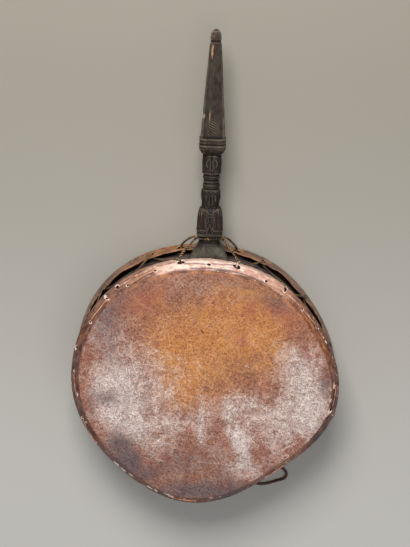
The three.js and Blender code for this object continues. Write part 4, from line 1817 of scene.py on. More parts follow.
    def build(self) -> Object:
        """Builds the handle as one closed carved form.

        Returns:
            The dressed piece, which stands for the plain handle.
        """
        height = self._heights()[:, None]
        angle = (np.arange(self.columns) * TURN / self.columns)[None, :]
        stations = self._stations()
        share = (height - self.carving_start) / self.carved_length
        width, depth, square = (np.interp(height, stations[:, 0], stations[:, i]) for i in (1, 2, 3))
        across, out = np.abs(np.cos(angle) / (width / 2)), np.abs(np.sin(angle) / (depth / 2))
        plain = (across**square + out**square) ** (-1 / square)
        leaves = self._leaves(share, angle)
        strokes, crest, hollow = self._stroke_relief(height, angle, plain)
        body = np.where(share < 0.4935, plain + leaves + strokes, 0)
        blade = np.where(share > 0.48, self._blade_radius(self._blade_width(share), angle), 0)
        radius = np.maximum(body, blade)
        cuts, cut_crest = self._incisions(share, angle, radius)
        on_blade = blade >= body
        radius = radius - np.where(on_blade, cuts, 0)
        kernel = np.array([0.22, 0.56, 0.22])
        padded = np.pad(radius, ((1, 1), (0, 0)), mode="edge")
        radius = kernel[0] * padded[:-2] + kernel[1] * padded[1:-1] + kernel[2] * padded[2:]
        x, z = radius * np.cos(angle), radius * np.sin(angle)
        places = np.stack(np.broadcast_arrays(x, height, z), axis=-1)
        tool_marks = 0.16 * MM * Ripple(61, 9 * MM)(places * np.array([1, 0.5, 1]))
        tool_marks = tool_marks + 0.22 * MM * Ripple(62, 26 * MM)(places)
        chip = 1.8 * MM * bell(height - (self.carving_start + 0.6 * self.carved_length), 3.4 * MM)
        chip = chip * bell(wrapped(angle - math.radians(152)), 0.16)
        radius = radius + tool_marks * smoothstep(height, 2 * MM, 8 * MM) - chip
        radius[-1] = np.minimum(radius[-1], 2.2 * MM)
        x, z = radius * np.cos(angle), radius * np.sin(angle)
        y = np.broadcast_to(height, x.shape) + self.shell_face
        seat = self._seat(x[:1], z[:1])
        rise = 1 - smoothstep(height, 0, self.saddle_length)
        y = y + (seat - self.shell_face) * rise
        masks = self._masks(share, angle, radius, on_blade, crest, cut_crest, hollow, leaves, chip)
        return self._close(np.stack([x, y, z + self.rim.middle], axis=-1), masks)

    def _seat(self, x: Array, z: Array) -> Array:
        """Gives the shell's own curve below the foot."""
        bearing = np.arctan2(x, self.shell_face)
        for _ in range(3):
            reach = self.rim.shell_radius * self.rim.share(bearing) + self.rim.gap
            bearing = np.arcsin(np.clip(x / reach, -1, 1))
        return reach * np.cos(bearing) + 0 * z

    def _masks(
        self,
        share: Array,
        angle: Array,
        radius: Array,
        on_blade: Array,
        crest: Array,
        cut_crest: Array,
        hollow: Array,
        leaves: Array,
        chip: Array,
    ) -> Masks:
        """Works out where the carving is light on its crests, as rubbed wear and painted highlight, dark in
        its hollows or worn bare.

        Args:
            share: Share of the carved length at each row.
            angle: Angle of each column.
            radius: The carved surface's radius.
            on_blade: Where the blade is outermost.
            crest: Crests of the carved lines.
            cut_crest: Crests beside the blade's incised lines.
            hollow: Hollows of the carved lines.
            leaves: How far the leaves stand out.
            chip: How deep the edge is chipped.

        Returns:
            The masks that the finish reads, by name.
        """
        smooth = radius.copy()
        for _ in range(5):
            padded = np.pad(smooth, ((1, 1), (0, 0)), mode="edge")
            smooth = (padded[:-2] + padded[1:-1] + padded[2:]) / 3
            smooth = (np.roll(smooth, 1, axis=1) + smooth + np.roll(smooth, -1, axis=1)) / 3
        proud = radius - smooth
        # corners: the blade's three edges, which get the light crest tone as a painted edge highlight
        corners = sum(bell(wrapped(angle - math.radians(a)), 0.07) for a in (30, 150, 270))
        crest = np.maximum(0.9 * crest, smoothstep(proud, 0.02 * MM, 0.22 * MM) * 0.8)
        crest = np.maximum(crest, np.where(on_blade, np.maximum(0.5 * corners, 0.8 * cut_crest), 0))
        hollow = np.maximum(hollow, smoothstep(-proud, 0.02 * MM, 0.25 * MM))
        worn_strip = bell(share - 0.6, 0.035) * bell(wrapped(angle - math.radians(118)), 0.09)
        tip = bell(share - 0.9, 0.05) * bell(wrapped(angle - math.radians(128)), 0.3)
        streak = bell(share - 0.79, 0.02) * bell(wrapped(angle - math.radians(104)), 0.12)
        cap = smoothstep(share, 0.95, 0.97) * 0.35
        worn = 0.85 * worn_strip + 0.7 * tip + 0.6 * streak + cap + np.clip(chip / MM, 0, 0.7)
        lobes = sum(
            bell(share - middle, reach) * np.clip(leaves / (1.2 * MM), 0, 1)
            for middle, reach in ((0.09, 0.035), (0.2, 0.02), (0.37, 0.025))
        )
        tip_red = smoothstep(share, 0.9, 0.97) * 0.2 * np.ones_like(radius)
        moss = (1 - smoothstep(share, -0.05, -0.02)) * np.ones_like(radius)
        blush = np.maximum(0.6 * lobes, tip_red)
        smoked = smoothstep(share, -0.03, 0) * (1 - smoothstep(share, 0.4, 0.46)) * np.ones_like(radius)
        hollow = np.maximum(hollow, 0.5 * smoked)
        crest = np.clip(crest, 0, 1) ** 1.8 * (1 - 0.25 * smoked)
        return {"crest": crest, "hollow": hollow, "worn": worn, "blush": blush, "moss": moss}

    def _close(self, places: Array, masks: Masks) -> Object:
        """Closes the foot along the shell and the tip, and dresses the piece.

        Args:
            places: The grid of points, from the foot to the tip.
            masks: The masks at them.

        Returns:
            The dressed piece.
        """
        rows, columns = places.shape[:2]
        points = places.reshape(-1, 3)
        rings = []
        for size in (0.66, 0.33):
            ring = places[0].copy()
            ring[:, 0] *= size
            ring[:, 2] = self.rim.middle + (ring[:, 2] - self.rim.middle) * size
            ring[:, 1] = self._seat(ring[:, 0], ring[:, 2])
            rings.append(ring)
        count = len(points)
        foot = np.array([[0, float(self._seat(np.zeros(1), np.zeros(1))[0]), self.rim.middle]])
        tip = points[-columns:].mean(axis=0, keepdims=True) + np.array([[0, 0.3 * MM, 0]])
        everything = np.vstack([points, *rings, foot, tip])
        first = np.arange(columns)
        last = count + 2 * columns
        hoop = [first, first + count, first + count + columns]
        faces = [lattice(rows, columns)]
        for outer, inner in zip(hoop, hoop[1:]):
            faces.append(np.stack([inner, np.roll(inner, -1), np.roll(outer, -1), outer], axis=1))
        faces.append(fan(hoop[-1], last, flip=True))
        faces.append(fan(first + (rows - 1) * columns, last + 1))
        faces = [group[:, ::-1] for group in faces]
        extra = 2 * columns + 2
        values = {
            name: np.append(np.broadcast_to(mask, (rows, columns)), np.zeros(extra))
            for name, mask in masks.items()
        }
        piece = make_object("carved_handle", everything, faces, values)
        piece.data.materials.append(self.finish.make())
        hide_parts("handle")
        return piece


@dataclass
class Lacing:
    """The long lace that zigzags between the heads, and the stitches along the front rim."""

    rim: Rim
    skin: Skin
    width: float = 3.4 * MM
    thickness: float = 1.5 * MM
    cad_width: float = 4 * MM
    cad_thickness: float = 1.6 * MM
    clearance: float = 0.8 * MM
    slant: float = 0.88
    binding: float = 4 * MM
    stitch_width: float = 4.2 * MM
    stitches: tuple[tuple[float, float, float, float], ...] = (
        (-23.6, 5.4, -36.5, 2.8),
        (-48.2, 3.9, -60.3, 4.0),
        (36.6, 4.8, 47.6, 5.4),
        (48.4, 5.6, 59.5, 6.6),
        (87.3, 4.6, 97.4, 3.6),
        (-84.8, 5.1, -95.8, 4.6),
        (-108, 5.6, -121, 7.0),
        (134, 5.6, 146, 6.5),
        (-166, 3.6, -177, 3.2),
    )
    finish: ThongFinish = ThongFinish("lace_hide", Tone("19120d"), Tone("3a2b1d"), Tone("8a6b40"), 0.42)
    stitch_finish: ThongFinish = ThongFinish(
        "stitch_hide", Tone("6e3a28"), Tone("ab6c4d"), Tone("e2b496"), 0.4
    )

    def _zigzag(self) -> Array:
        """Follows the lace: out under one skirt, over the shell and in at the other skirt's hole.

        Returns:
            The points that it passes.
        """
        rim = self.rim
        holes = rim.lace_holes
        aside = (self.binding + rim.gap) / 2 / rim.shell_radius
        stops = [(0.5 * rim.hole_step + aside, Facing.FRONT)]
        for i in range(1, holes):
            stops.append((i * rim.hole_step, Facing.BACK))
            stops.append(((i + 0.5) * rim.hole_step, Facing.FRONT))
        stops[-1] = (stops[-1][0] - aside, Facing.FRONT)
        half = self.cad_thickness / 2 + self.clearance
        turn = self.cad_width / 2 + 2 * MM - self.clearance
        near = rim.hole_setback + turn

        def under(bearing: float, setback: float, side: Facing) -> Array:
            """Gives a point of the lace under a skirt."""
            radius = rim.skirt_radius(setback, 0) - half - self.clearance
            return rim.place(bearing, radius, rim.height(setback, side))

        def over(bearing: float, setback: float, side: Facing) -> Array:
            """Gives a point of the lace on a skirt."""
            return rim.place(bearing, rim.skirt_radius(setback, rim.skin) + half, rim.height(setback, side))

        hole = rim.skirt_radius(rim.hole_setback, rim.skin / 2)
        points = []
        for (start, side), (end, other) in zip(stops, stops[1:]):
            way = end - start
            points += [
                under(start, near, side),
                under(start + way * (1 - self.slant), rim.skirt_depth, side),
                over(start + way * self.slant, rim.skirt_depth, other),
                over(end, near, other),
                rim.place(end, hole, rim.height(rim.hole_setback, other)),
            ]
        points.append(under(stops[-1][0], near, stops[-1][1]))
        return np.array(points)

    def _strip(
        self, name: str, path: Array, finish: bpy.types.Material, width: float, twist: float, seed: int
    ) -> Object:
        """Makes a flat strip with its edges curled and its width uneven.

        Args:
            name: The piece's name.
            path: The points that it follows.
            finish: Its material.
            width: How wide it is.
            twist: How far it turns over on its way.
            seed: Makes its unevenness its own.

        Returns:
            The strip.
        """
        section = oval(width, self.thickness, 12, 2.6)
        section[:, 1] += 0.16 * self.thickness * np.cos(TURN * section[:, 0] / width)
        facing = unit(path * np.array([1, 1, 0]))
        roll = twist * Ripple(seed, 60 * MM)(path) + 0.25 * Ripple(seed + 1, 14 * MM)(path)
        size = 1 + 0.14 * Ripple(seed + 2, 16 * MM)(path)
        places, faces = sweep(path, section, turned_about(facing, path, roll), size)
        # crest: the strip's upper edges get the light tone, partly wear and partly painted highlight
        crest = np.tile(0.35 + 0.65 * (section[:, 1] > 0) * np.abs(section[:, 0]) / width * 2, len(path))
        piece = make_object(name, places, faces, {"crest": np.append(crest, [0, 0])})
        piece.data.materials.append(finish)
        return piece

    def build(self) -> list[Object]:
        """Builds the zigzag lace and each rim stitch.

        Returns:
            The lace, then the stitches.
        """
        path = smooth_path(self._zigzag(), 2.2 * MM)
        lace = self._strip("zigzag_lace", path, self.finish.make(), self.width, 0.7, 71)
        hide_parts("lacing")
        pieces = [lace]
        finish = self.stitch_finish.make()
        for i, ends in enumerate(self.stitches):
            route = self._stitch(*ends)
            stitch = self._strip(f"rim_stitch_{i + 1}", route, finish, self.stitch_width, 0.06, 81 + i)
            pieces.append(stitch)
        return pieces

    def _stitch(self, start: float, start_setback: float, end: float, end_setback: float) -> Array:
        """Runs a stitch over the front rim between two holes.

        Args:
            start: The first hole's bearing in degrees.
            start_setback: Its setback in millimetres.
            end: The second hole's bearing.
            end_setback: Its setback.

        Returns:
            The points that it passes.
        """
        ends = [self.skin.at_setback(setback * MM) for setback in (start_setback, end_setback)]
        share = np.array([0, 0.02, 0.07, 0.18, 0.35, 0.5, 0.65, 0.82, 0.93, 0.98, 1])
        lift = np.array([-2.8, -0.9, 0.75, 0.8, 0.75, 0.75, 0.75, 0.8, 0.75, -0.9, -2.8]) * MM
        bearing = np.radians(start + (end - start) * share)
        along = ends[0] + (ends[1] - ends[0]) * smoothstep(share, 0.05, 0.95)
        return smooth_path(self.skin.point(bearing, along, lift, Facing.FRONT), 1.4 * MM)


def two_strands(path: Array, facing: Array, phase: Array, section: Array, lay: float, uneven: float) -> Form:
    """Lays two strands round each other.

    Args:
        path: The middle of the cord.
        facing: Which way is out, at each point of the path.
        phase: How far the lay has turned there.
        section: One strand's outline.
        lay: How far a strand's middle is from the cord's.
        uneven: How uneven the strands are.

    Returns:
        The points and the faces of both.
    """
    parts, groups = [], []
    for strand in range(2):
        out = turned_about(facing, path, phase + math.pi * strand)
        size = 1 + uneven * Ripple(91 + strand, 6 * MM)(path)
        places, faces = sweep(path + out * lay, section, out, size)
        groups += [face + sum(len(part) for part in parts) for face in faces]
        parts.append(places)
    return np.vstack(parts), groups


@dataclass
class Bindings:
    """The two twisted cords that tie the handle to the heads."""

    rim: Rim
    handle: Handle
    cord: float = 4 * MM
    meets: float = math.radians(25)
    turns: int = 8
    pitch: float = 9 * MM
    step: float = 0.9 * MM
    finish: ThongFinish = ThongFinish("twisted_cord", Tone("120b07"), Tone("37231a"), Tone("b08a54"), 0.34)

    def _route(self, side: int, along: float) -> Array:
        """Follows a cord half round the neck and back into the skirt on both sides.

        Args:
            side: 1 for the front cord and -1 for the back one.
            along: How far up the handle it goes round the neck.

        Returns:
            The points that it passes.
        """
        rim = self.rim
        clear = self.cord / 2 + 2 * rim.gap
        aside = (4 * MM + rim.gap) / 2
        spread = self.cord if side < 0 else 0
        beside = self.handle.neck_width / 2 + 2 * clear + spread
        deep = rim.hole_setback + 4 * MM + self.cord / 2
        level = self.handle.shell_face + along

        def leg(way: int) -> list[Array]:
            """Runs from under the skirt, out through its hole and up to the neck.

            Args:
                way: 1 for the right side and -1 for the left one.

            Returns:
                The points on the way.
            """
            bearing = way * (rim.hole_step / 2 - aside / rim.shell_radius)
            stops = (
                (rim.shell_radius + clear, deep),
                (rim.skirt_radius(rim.hole_setback, rim.skin / 2), rim.hole_setback),
                (rim.skirt_radius(rim.hole_setback, rim.skin) + self.cord, rim.hole_setback + 1 * MM),
            )
            points = [rim.place(bearing, out, rim.middle + side * (rim.middle - down)) for out, down in stops]
            return [*points, np.array([way * beside, level, rim.middle - side * clear])]

        angle = -side * np.linspace(self.meets, math.pi - self.meets, self.turns + 1)
        across = np.abs(np.cos(angle)) / (self.handle.neck_width / 2)
        front = np.abs(np.sin(angle)) / (self.handle.neck_depth / 2)
        radius = (across**3 + front**3) ** (-1 / 3) + clear
        x, z = radius * np.cos(angle), rim.middle + radius * np.sin(angle)
        turn = np.stack([x, np.full_like(x, level), z], axis=1)
        return np.array([*leg(1), *turn, *leg(-1)[::-1]])

    def build(self) -> list[Object]:
        """Builds each cord out of two strands laid round each other.

        Returns:
            The front and the back cord.
        """
        low = self.handle.saddle_length + self.rim.gap + self.cord / 2
        levels = {"front": (1, low), "back": (-1, low + self.cord + self.rim.gap)}
        finish = self.finish.make()
        pieces = []
        for name, (side, along) in levels.items():
            path = smooth_path(self._route(side, along), self.step)
            run = np.arange(len(path)) * self.step
            facing = unit(path - np.array([0, self.handle.shell_face + 30 * MM, self.rim.middle]))
            section = oval(self.cord * 0.56, self.cord * 0.52, 10)
            form = two_strands(path, facing, TURN * run / self.pitch, section, self.cord * 0.235, 0.07)
            # top: each strand's outer side, which gets the light crest tone as wear and as a painted beaded
            # highlight
            top = smoothstep(section[:, 1], 0.45 * MM, 1.05 * MM)
            half = self.handle.neck_width / 2
            crest_wear_and_glint = np.ones(len(path))
            if side < 0:
                crest_wear_and_glint = smoothstep(np.abs(path[:, 0]), 0.8 * half, 1.15 * half)
            # A painted glint: the light crest tone 3 mm left of the neck's middle, where a highlight falls on
            # the cord.
            crest_wear_and_glint = np.maximum(crest_wear_and_glint, bell(path[:, 0] + 3 * MM, 3 * MM))
            crest = np.tile(np.append(np.outer(crest_wear_and_glint, top), [0, 0]), 2)
            cord = make_object(f"{name}_neck_cord", *form, {"crest": crest})
            cord.data.materials.append(finish)
            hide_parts(f"{name}_binding")
            pieces.append(cord)
        return pieces


@dataclass
class LashingEnds:
    """The ends of the front cord, which turn over the hoop and go back in through the slope's torn holes."""

    rim: Rim
    skin: Skin
    thickness: float = 3.2 * MM
    pitch: float = 7 * MM
    step: float = 0.8 * MM
    routes: tuple[tuple[tuple[float, float], tuple[float, float]], ...] = (
        ((-11.9, 9.8), (-13.6, 26)),
        ((12.2, 8.0), (13.4, 26)),
    )
    finishes: tuple[ThongFinish, ...] = (
        ThongFinish("lashing_dark", Tone("1d120b"), Tone("57391f"), Tone("d6b078"), 0.36),
        ThongFinish("lashing_pale", Tone("8a6250"), Tone("c9a08c"), Tone("f6e6da"), 0.42),
    )

    def build(self) -> list[Object]:
        """Builds each end out of two strands.

        Returns:
            The two ends.
        """
        pieces = []
        for i, (((bearing, setback), (last, low)), finish) in enumerate(zip(self.routes, self.finishes)):
            stops = self.skin.at_setback(setback * MM), self.skin.at_setback(low * MM)
            share = np.array([0, 0.04, 0.14, 0.3, 0.5, 0.7, 0.88, 1])
            lift = np.array([-3.0, -0.4, 1.7, 1.9, 1.9, 1.9, 2.6, 3.6]) * MM
            turn = np.radians(bearing + (last - bearing) * share)
            along = stops[0] + (stops[1] - stops[0]) * share
            path = smooth_path(self.skin.point(turn, along, lift, Facing.FRONT), self.step)
            facing = unit(self.skin.point(turn[3:4], along[3:4], 0.1, Facing.FRONT)[0] - path)
            phase = TURN * np.arange(len(path)) * self.step / self.pitch
            section = oval(self.thickness * 0.58, self.thickness * 0.54, 10)
            form = two_strands(path, facing, phase, section, self.thickness * 0.23, 0)
            # crest: each strand's outer side gets the light tone, as wear and as a painted beaded highlight
            crest = np.append(np.tile(smoothstep(section[:, 1], 0, 0.8 * MM), len(path)), [0, 0])
            end = make_object(f"lashing_end_{i + 1}", *form, {"crest": np.tile(crest, 2)})
            end.data.materials.append(finish.make())
            pieces.append(end)
        return pieces


# The loose loop's route: out of one hole in the back skirt, over the ground, into the other.
LOOP_ROUTE = (
    (0.0608, -0.1766, 0.024),
    (0.0636, -0.1848, 0.024),
    (0.0662, -0.1924, 0.0232),
    (0.0688, -0.1992, 0.0192),
    (0.072, -0.2056, 0.0122),
    (0.0774, -0.2118, 0.0058),
    (0.085, -0.2172, 0.0028),
    (0.094, -0.2204, 0.0025),
    (0.1034, -0.2211, 0.0025),
    (0.113, -0.2192, 0.0025),
    (0.122, -0.2163, 0.0025),
    (0.1306, -0.2134, 0.0025),
    (0.1383, -0.2105, 0.0025),
    (0.1423, -0.2078, 0.0025),
    (0.1444, -0.2037, 0.0025),
    (0.1442, -0.199, 0.0025),
    (0.1418, -0.1949, 0.0025),
    (0.1374, -0.1905, 0.0028),
    (0.1328, -0.1859, 0.0046),
    (0.1282, -0.1812, 0.0086),
    (0.1238, -0.1763, 0.0144),
    (0.1198, -0.171, 0.02),
    (0.116, -0.1658, 0.0234),
    (0.1114, -0.1592, 0.024),
    (0.1066, -0.1522, 0.024),
)


@dataclass
class TailLoop:
    """The loose thong loop at the lower edge."""

    thickness: float = 4.4 * MM
    length: float = 0.1922
    finish: ThongFinish = ThongFinish("loop_leather", Tone("24110e"), Tone("5c2d22"), Tone("a0694a"), 0.38)

    def build(self) -> Object:
        """Builds the loop as one tube along its route.

        Returns:
            The dressed loop.
        """
        path = smooth_path(np.array(LOOP_ROUTE), 1.5 * MM)
        facing = turned_about(np.tile([0.0, 0.0, 1.0], (len(path), 1)), path, np.arange(len(path)) * 0.07)
        section = oval(self.thickness, self.thickness, 16)
        bulge = 1 + 0.07 * np.cos(3 * np.arange(16) * TURN / 16)
        places, faces = sweep(path, section * bulge[:, None] * 0.97, facing)
        crest = np.append(np.tile(0.5 * (bulge > 1.03), len(path)), [0, 0])
        loop = make_object("tail_thong", places, faces, {"crest": crest})
        loop.data.materials.append(self.finish.make())
        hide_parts("tail_loop")
        return loop


@dataclass
class Studio:
    """The camera, the lights and the floor."""

    tilt: float = math.radians(18.065)
    roll: float = math.radians(1.895)
    distance: float = 2087.74 * MM
    target: tuple[float, float, float] = (-4.957 * MM, 151.77 * MM, 0.0)
    lens: float = 85.0
    floor_size: float = 16
    floor_drop: float = 0.4 * MM

    def build_camera(self) -> None:
        """Sets the camera above the drum, leaning towards the handle."""
        forward = Vector((0, -math.sin(self.tilt), -math.cos(self.tilt)))
        right = Vector((1, 0, 0))
        up = right.cross(forward)
        right, up = (
            right * math.cos(self.roll) + up * math.sin(self.roll),
            up * math.cos(self.roll) - right * math.sin(self.roll),
        )
        data = bpy.data.cameras.new("camera")
        data.lens = self.lens
        data.sensor_width = 36.0
        data.sensor_fit = "AUTO"
        data.clip_end = 20.0
        camera = bpy.data.objects.new("camera", data)
        turn = Matrix((right, up, -forward)).transposed().to_4x4()
        camera.matrix_world = Matrix.Translation(Vector(self.target) - forward * self.distance) @ turn
        bpy.context.scene.collection.objects.link(camera)
        bpy.context.scene.camera = camera

    def _area_light(self, name: str, place: tuple[float, float, float], size: float, power: float) -> None:
        """Hangs a soft square light that points at the drum.

        Args:
            name: The light's name.
            place: Where it hangs.
            size: Its side.
            power: Its power in watts.
        """
        data = bpy.data.lights.new(name, "AREA")
        data.shape = "SQUARE"
        data.size = size
        data.energy = power
        data.color = (1.0, 0.97, 0.93)
        light = bpy.data.objects.new(name, data)
        light.location = place
        light.rotation_mode = "QUATERNION"
        light.rotation_quaternion = (Vector((0, 0.05, 0.05)) - Vector(place)).to_track_quat("-Z", "Y")
        bpy.context.scene.collection.objects.link(light)

    def build_floor_and_lights(self) -> None:
        """Lays the floor and hangs the lights."""
        half = self.floor_size / 2
        corners = [(-half, -half), (half, -half), (half, half), (-half, half)]
        mesh = bpy.data.meshes.new("floor")
        mesh.from_pydata([(x, y, -self.floor_drop) for x, y in corners], [], [(0, 1, 2, 3)])
        floor = bpy.data.objects.new("floor", mesh)
        floor.data.materials.append(FloorFinish().make())
        bpy.context.scene.collection.objects.link(floor)
        self._area_light("high_window", (-0.35, 2.2, 2.0), 1.2, 92)
        self._area_light("overhead", (0.5, -0.2, 2.9), 2.2, 20)
        world = bpy.data.worlds.new("studio")
        world.use_nodes = True
        background = next(n for n in world.node_tree.nodes if n.type == "BACKGROUND")
        background.inputs["Color"].default_value = (0.93, 0.96, 1.0, 1.0)
        background.inputs["Strength"].default_value = 0.24
        bpy.context.scene.world = world
        bpy.context.scene.view_settings.view_transform = "Standard"


# The front hide's colours: x, y, half sizes across and up in millimetres, strength, and a turn in degrees
FACE_AREAS = {
    "ochre": (
        (48, 122, 62, 48, 0.75, 10), (20, 68, 85, 70, 0.6), (-39, 28, 34, 52, 0.85), (-38, 2, 24, 40, 0.5),
        (-60, 70, 40, 60, 0.35), (98, 90, 40, 50, 0.45), (-98, 141, 40, 30, 0.35, 20),
        (115, 137, 34, 24, 0.4, -30), (15, -10, 60, 36, 0.25), (10, 100, 26, 30, 0.2),
    ),
    "red": (
        (-98, 138, 46, 26, 0.6, 26), (126, 124, 36, 26, 0.65, -40), (45, 125, 56, 36, 0.4, 10),
        (55, 80, 9, 20, 0.6), (64, 135, 14, 14, 0.45), (-22, 96, 9, 10, 0.45), (95, 7, 14, 14, 0.45),
        (21, -40, 11, 60, 0.45), (-75, -145, 36, 12, 0.5), (30, -150, 40, 16, 0.35),
        (-98, 142, 34, 26, 0.3), (115, 137, 24, 16, 0.35), (120, 40, 30, 20, 0.2),
    ),
    "dust": (
        (-128, 18, 26, 26, 0.55), (-128, -36, 26, 30, 0.75, 20), (-156, 0, 22, 14, 0.35, 20),
        (-114, -76, 20, 24, 0.5, 35), (-84, 20, 26, 36, 0.28), (-170, 10, 18, 50, 0.4),
        (-150, -60, 24, 40, 0.4, 20), (-100, -20, 50, 80, 0.15), (100, -90, 90, 60, 0.25),
        (183, 0, 14, 60, 0.1), (-16, -64, 50, 30, 0.32), (66, -22, 26, 24, 0.45), (-62, 14, 26, 22, 0.25),
        (58, -134, 20, 20, 0.35), (139, 60, 24, 26, 0.3), (-39, 24, 20, 30, 0.1), (-140, 66, 30, 38, 0.35),
        (-88, -60, 56, 70, 0.35), (158, 2, 34, 36, 0.75), (180, -28, 24, 26, 0.35), (146, 44, 34, 28, 0.4),
        (165, -54, 30, 32, 0.5), (120, -60, 44, 40, 0.4), (58, -92, 13, 34, 0.95, 22),
        (36, -34, 26, 26, 0.35), (-3, -60, 5, 52, 0.45), (11, -177, 26, 14, 0.18),
        (-28, 171, 36, 14, 0.12), (-71, -98, 12, 9, 0.35), (-160, 112, 26, 34, 0.25),
        (75, -150, 60, 14, 0.25),
    ),
    # The grime areas darken the face, most of them near its lower and side edges.
    "grime_and_shade": (
        (-150, -24, 24, 15, 0.62), (-134, -106, 34, 20, 0.5, 40), (-182, -36, 12, 34, 0.4),
        (-50, -194, 60, 17, 0.65, 6), (50, -192, 60, 17, 0.7, -6), (126, -160, 34, 15, 0.6, -45),
        (192, 20, 10, 50, 0.35), (-118, -136, 17, 17, 1.1, 40), (-90, -156, 26, 10, 0.4, 25),
        (-160, 112, 24, 34, 0.4, -25), (-112, 160, 50, 14, 0.35, 28), (0, -176, 100, 12, 0.4),
        (-5, -130, 80, 40, 0.32), (188, 10, 10, 30, 0.35), (182, -62, 12, 30, 0.25, -35),
        (-14, 125, 4, 44, 0.4), (-150, 40, 16, 40, 0.2), (120, 140, 30, 20, 0.15),
        (-60, 150, 90, 24, 0.3, 20), (-150, 90, 26, 60, 0.25, -22), (70, 162, 70, 14, 0.25, -18),
        (-70, -150, 60, 22, 0.3, 28), (60, -165, 60, 16, 0.3, -20), (115, 140, 40, 24, 0.3, -30),
        (-118, -130, 26, 22, 0.55, 40), (-140, -90, 26, 26, 0.3, 30), (40, 125, 60, 36, 0.16, 10),
    ),
}
FACE_PATCHES = tuple(Patch(mask, *area) for mask, areas in FACE_AREAS.items() for area in areas)

# Scratches: x and y of both ends and half the width, in millimetres
FACE_SCRATCHES: tuple[Line, ...] = (
    (40, -50, 89, -98, 0.6), (36, -52, 60, -74, 0.6), (126, -106, 151, -86, 1.0),
    (17, -115, 29, -133, 0.7), (28, -132, 92, -139, 0.5), (-20, -128, 28, -132, 0.5),
    (66, -156, 87, -147, 0.7), (172, 0, 186, -10, 0.8), (-66, -90, -76, -100, 1.5),
    (-66, -90, -50, -81, 0.5), (2, -10, -3, -80, 0.45), (8, -35, 4, -85, 0.7), (48, -100, 59, -113, 0.6),
    (30, 133, 32.5, 133, 1.4), (37.5, 120, 39, 121, 1.2), (38, 114, 39.5, 113, 1.0),
    (113, 108, 116, 105, 1.1), (-83, 62, -65, 56, 0.5), (52, 42, 70, 36, 0.6), (-98, -124, -60, -130, 0.6),
)

# Scars, in the same way
FACE_SCARS: tuple[Line, ...] = (
    (-7.5, 95, -4.5, 90.5, 1.9), (8.5, -70, 9.5, -70.5, 1.3), (-101, 156, -96, 157, 1.0),
    (-150, 118, -148.5, 119, 1.0), (-82, -142, -80, -142, 0.9),
)

# Pale stretches of the rim: bearing and spread in degrees, setback and width in millimetres, strength. Most
# are pale wear; the broad ones near the handle, from (25, 2.2, 30, 5, 1.0) to (72, 6.0, 8, 1.6, 0.5), also
# stand for a painted highlight on the upper rim, where the light from above falls.
RIM_WEAR_AND_HIGHLIGHTS = (
    (-136, 2.2, 7, 2.2, 1.3), (-140.5, 2.2, 6, 1.6, 1.3), (-144.5, 1.8, 5, 2.2, 1.3),
    (-152, 2.2, 9, 3, 1.2), (-155.5, 2.0, 4.5, 2.6, 1.2), (-158.6, 1.2, 4, 3.0, 1.4),
    (-164.5, 2.6, 2.4, 2.6, 1.2), (-171.5, 2.4, 1.5, 2.0, 0.9), (175, 0.8, 1.0, 2.0, 1.0),
    (171, 0.8, 2.0, 2.0, 1.1), (156, 0.7, 13, 2.4, 1.2), (146, 1.1, 7, 1.8, 1.0),
    (133.8, 0.9, 5, 2.4, 1.3), (42, 5.5, 5.2, 1.7, 1.1), (53.5, 5.0, 6.2, 1.7, 1.0),
    (66, 5.0, 7.4, 1.4, 0.7), (88, 1.2, 3.4, 2.2, 1.2), (99.5, 1.6, 1.2, 2.2, 1.2),
    (94.6, 1.4, 0.5, 1.6, 1.1), (102, 1.4, 0.8, 1.8, 1.1), (-121.5, 1.0, 12, 4, 1.1),
    (-110, 0.9, 4, 2.2, 1.0), (-60.5, 1.1, 4, 2.2, 1.3), (-48, 1.0, 3.7, 2.2, 1.2),
    (-47.8, 0.9, 8, 2.0, 1.2), (-41.3, 0.8, 1.0, 1.8, 1.0), (25, 2.2, 30, 5, 1.0), (20, 5.0, 20, 7, 0.55),
    (6, 4.5, 33, 2.6, 1.3), (0, 12.0, 10, 1.6, 0.7), (5, 14.0, 16, 3, 0.5), (-24, 6.0, 12, 2.6, 0.6),
    (55, 5.0, 10, 2.0, 0.5), (72, 6.0, 8, 1.6, 0.5), (-13, 2.2, 12, 4, 0.9), (14.5, 1.6, 6, 3, 1.1),
)

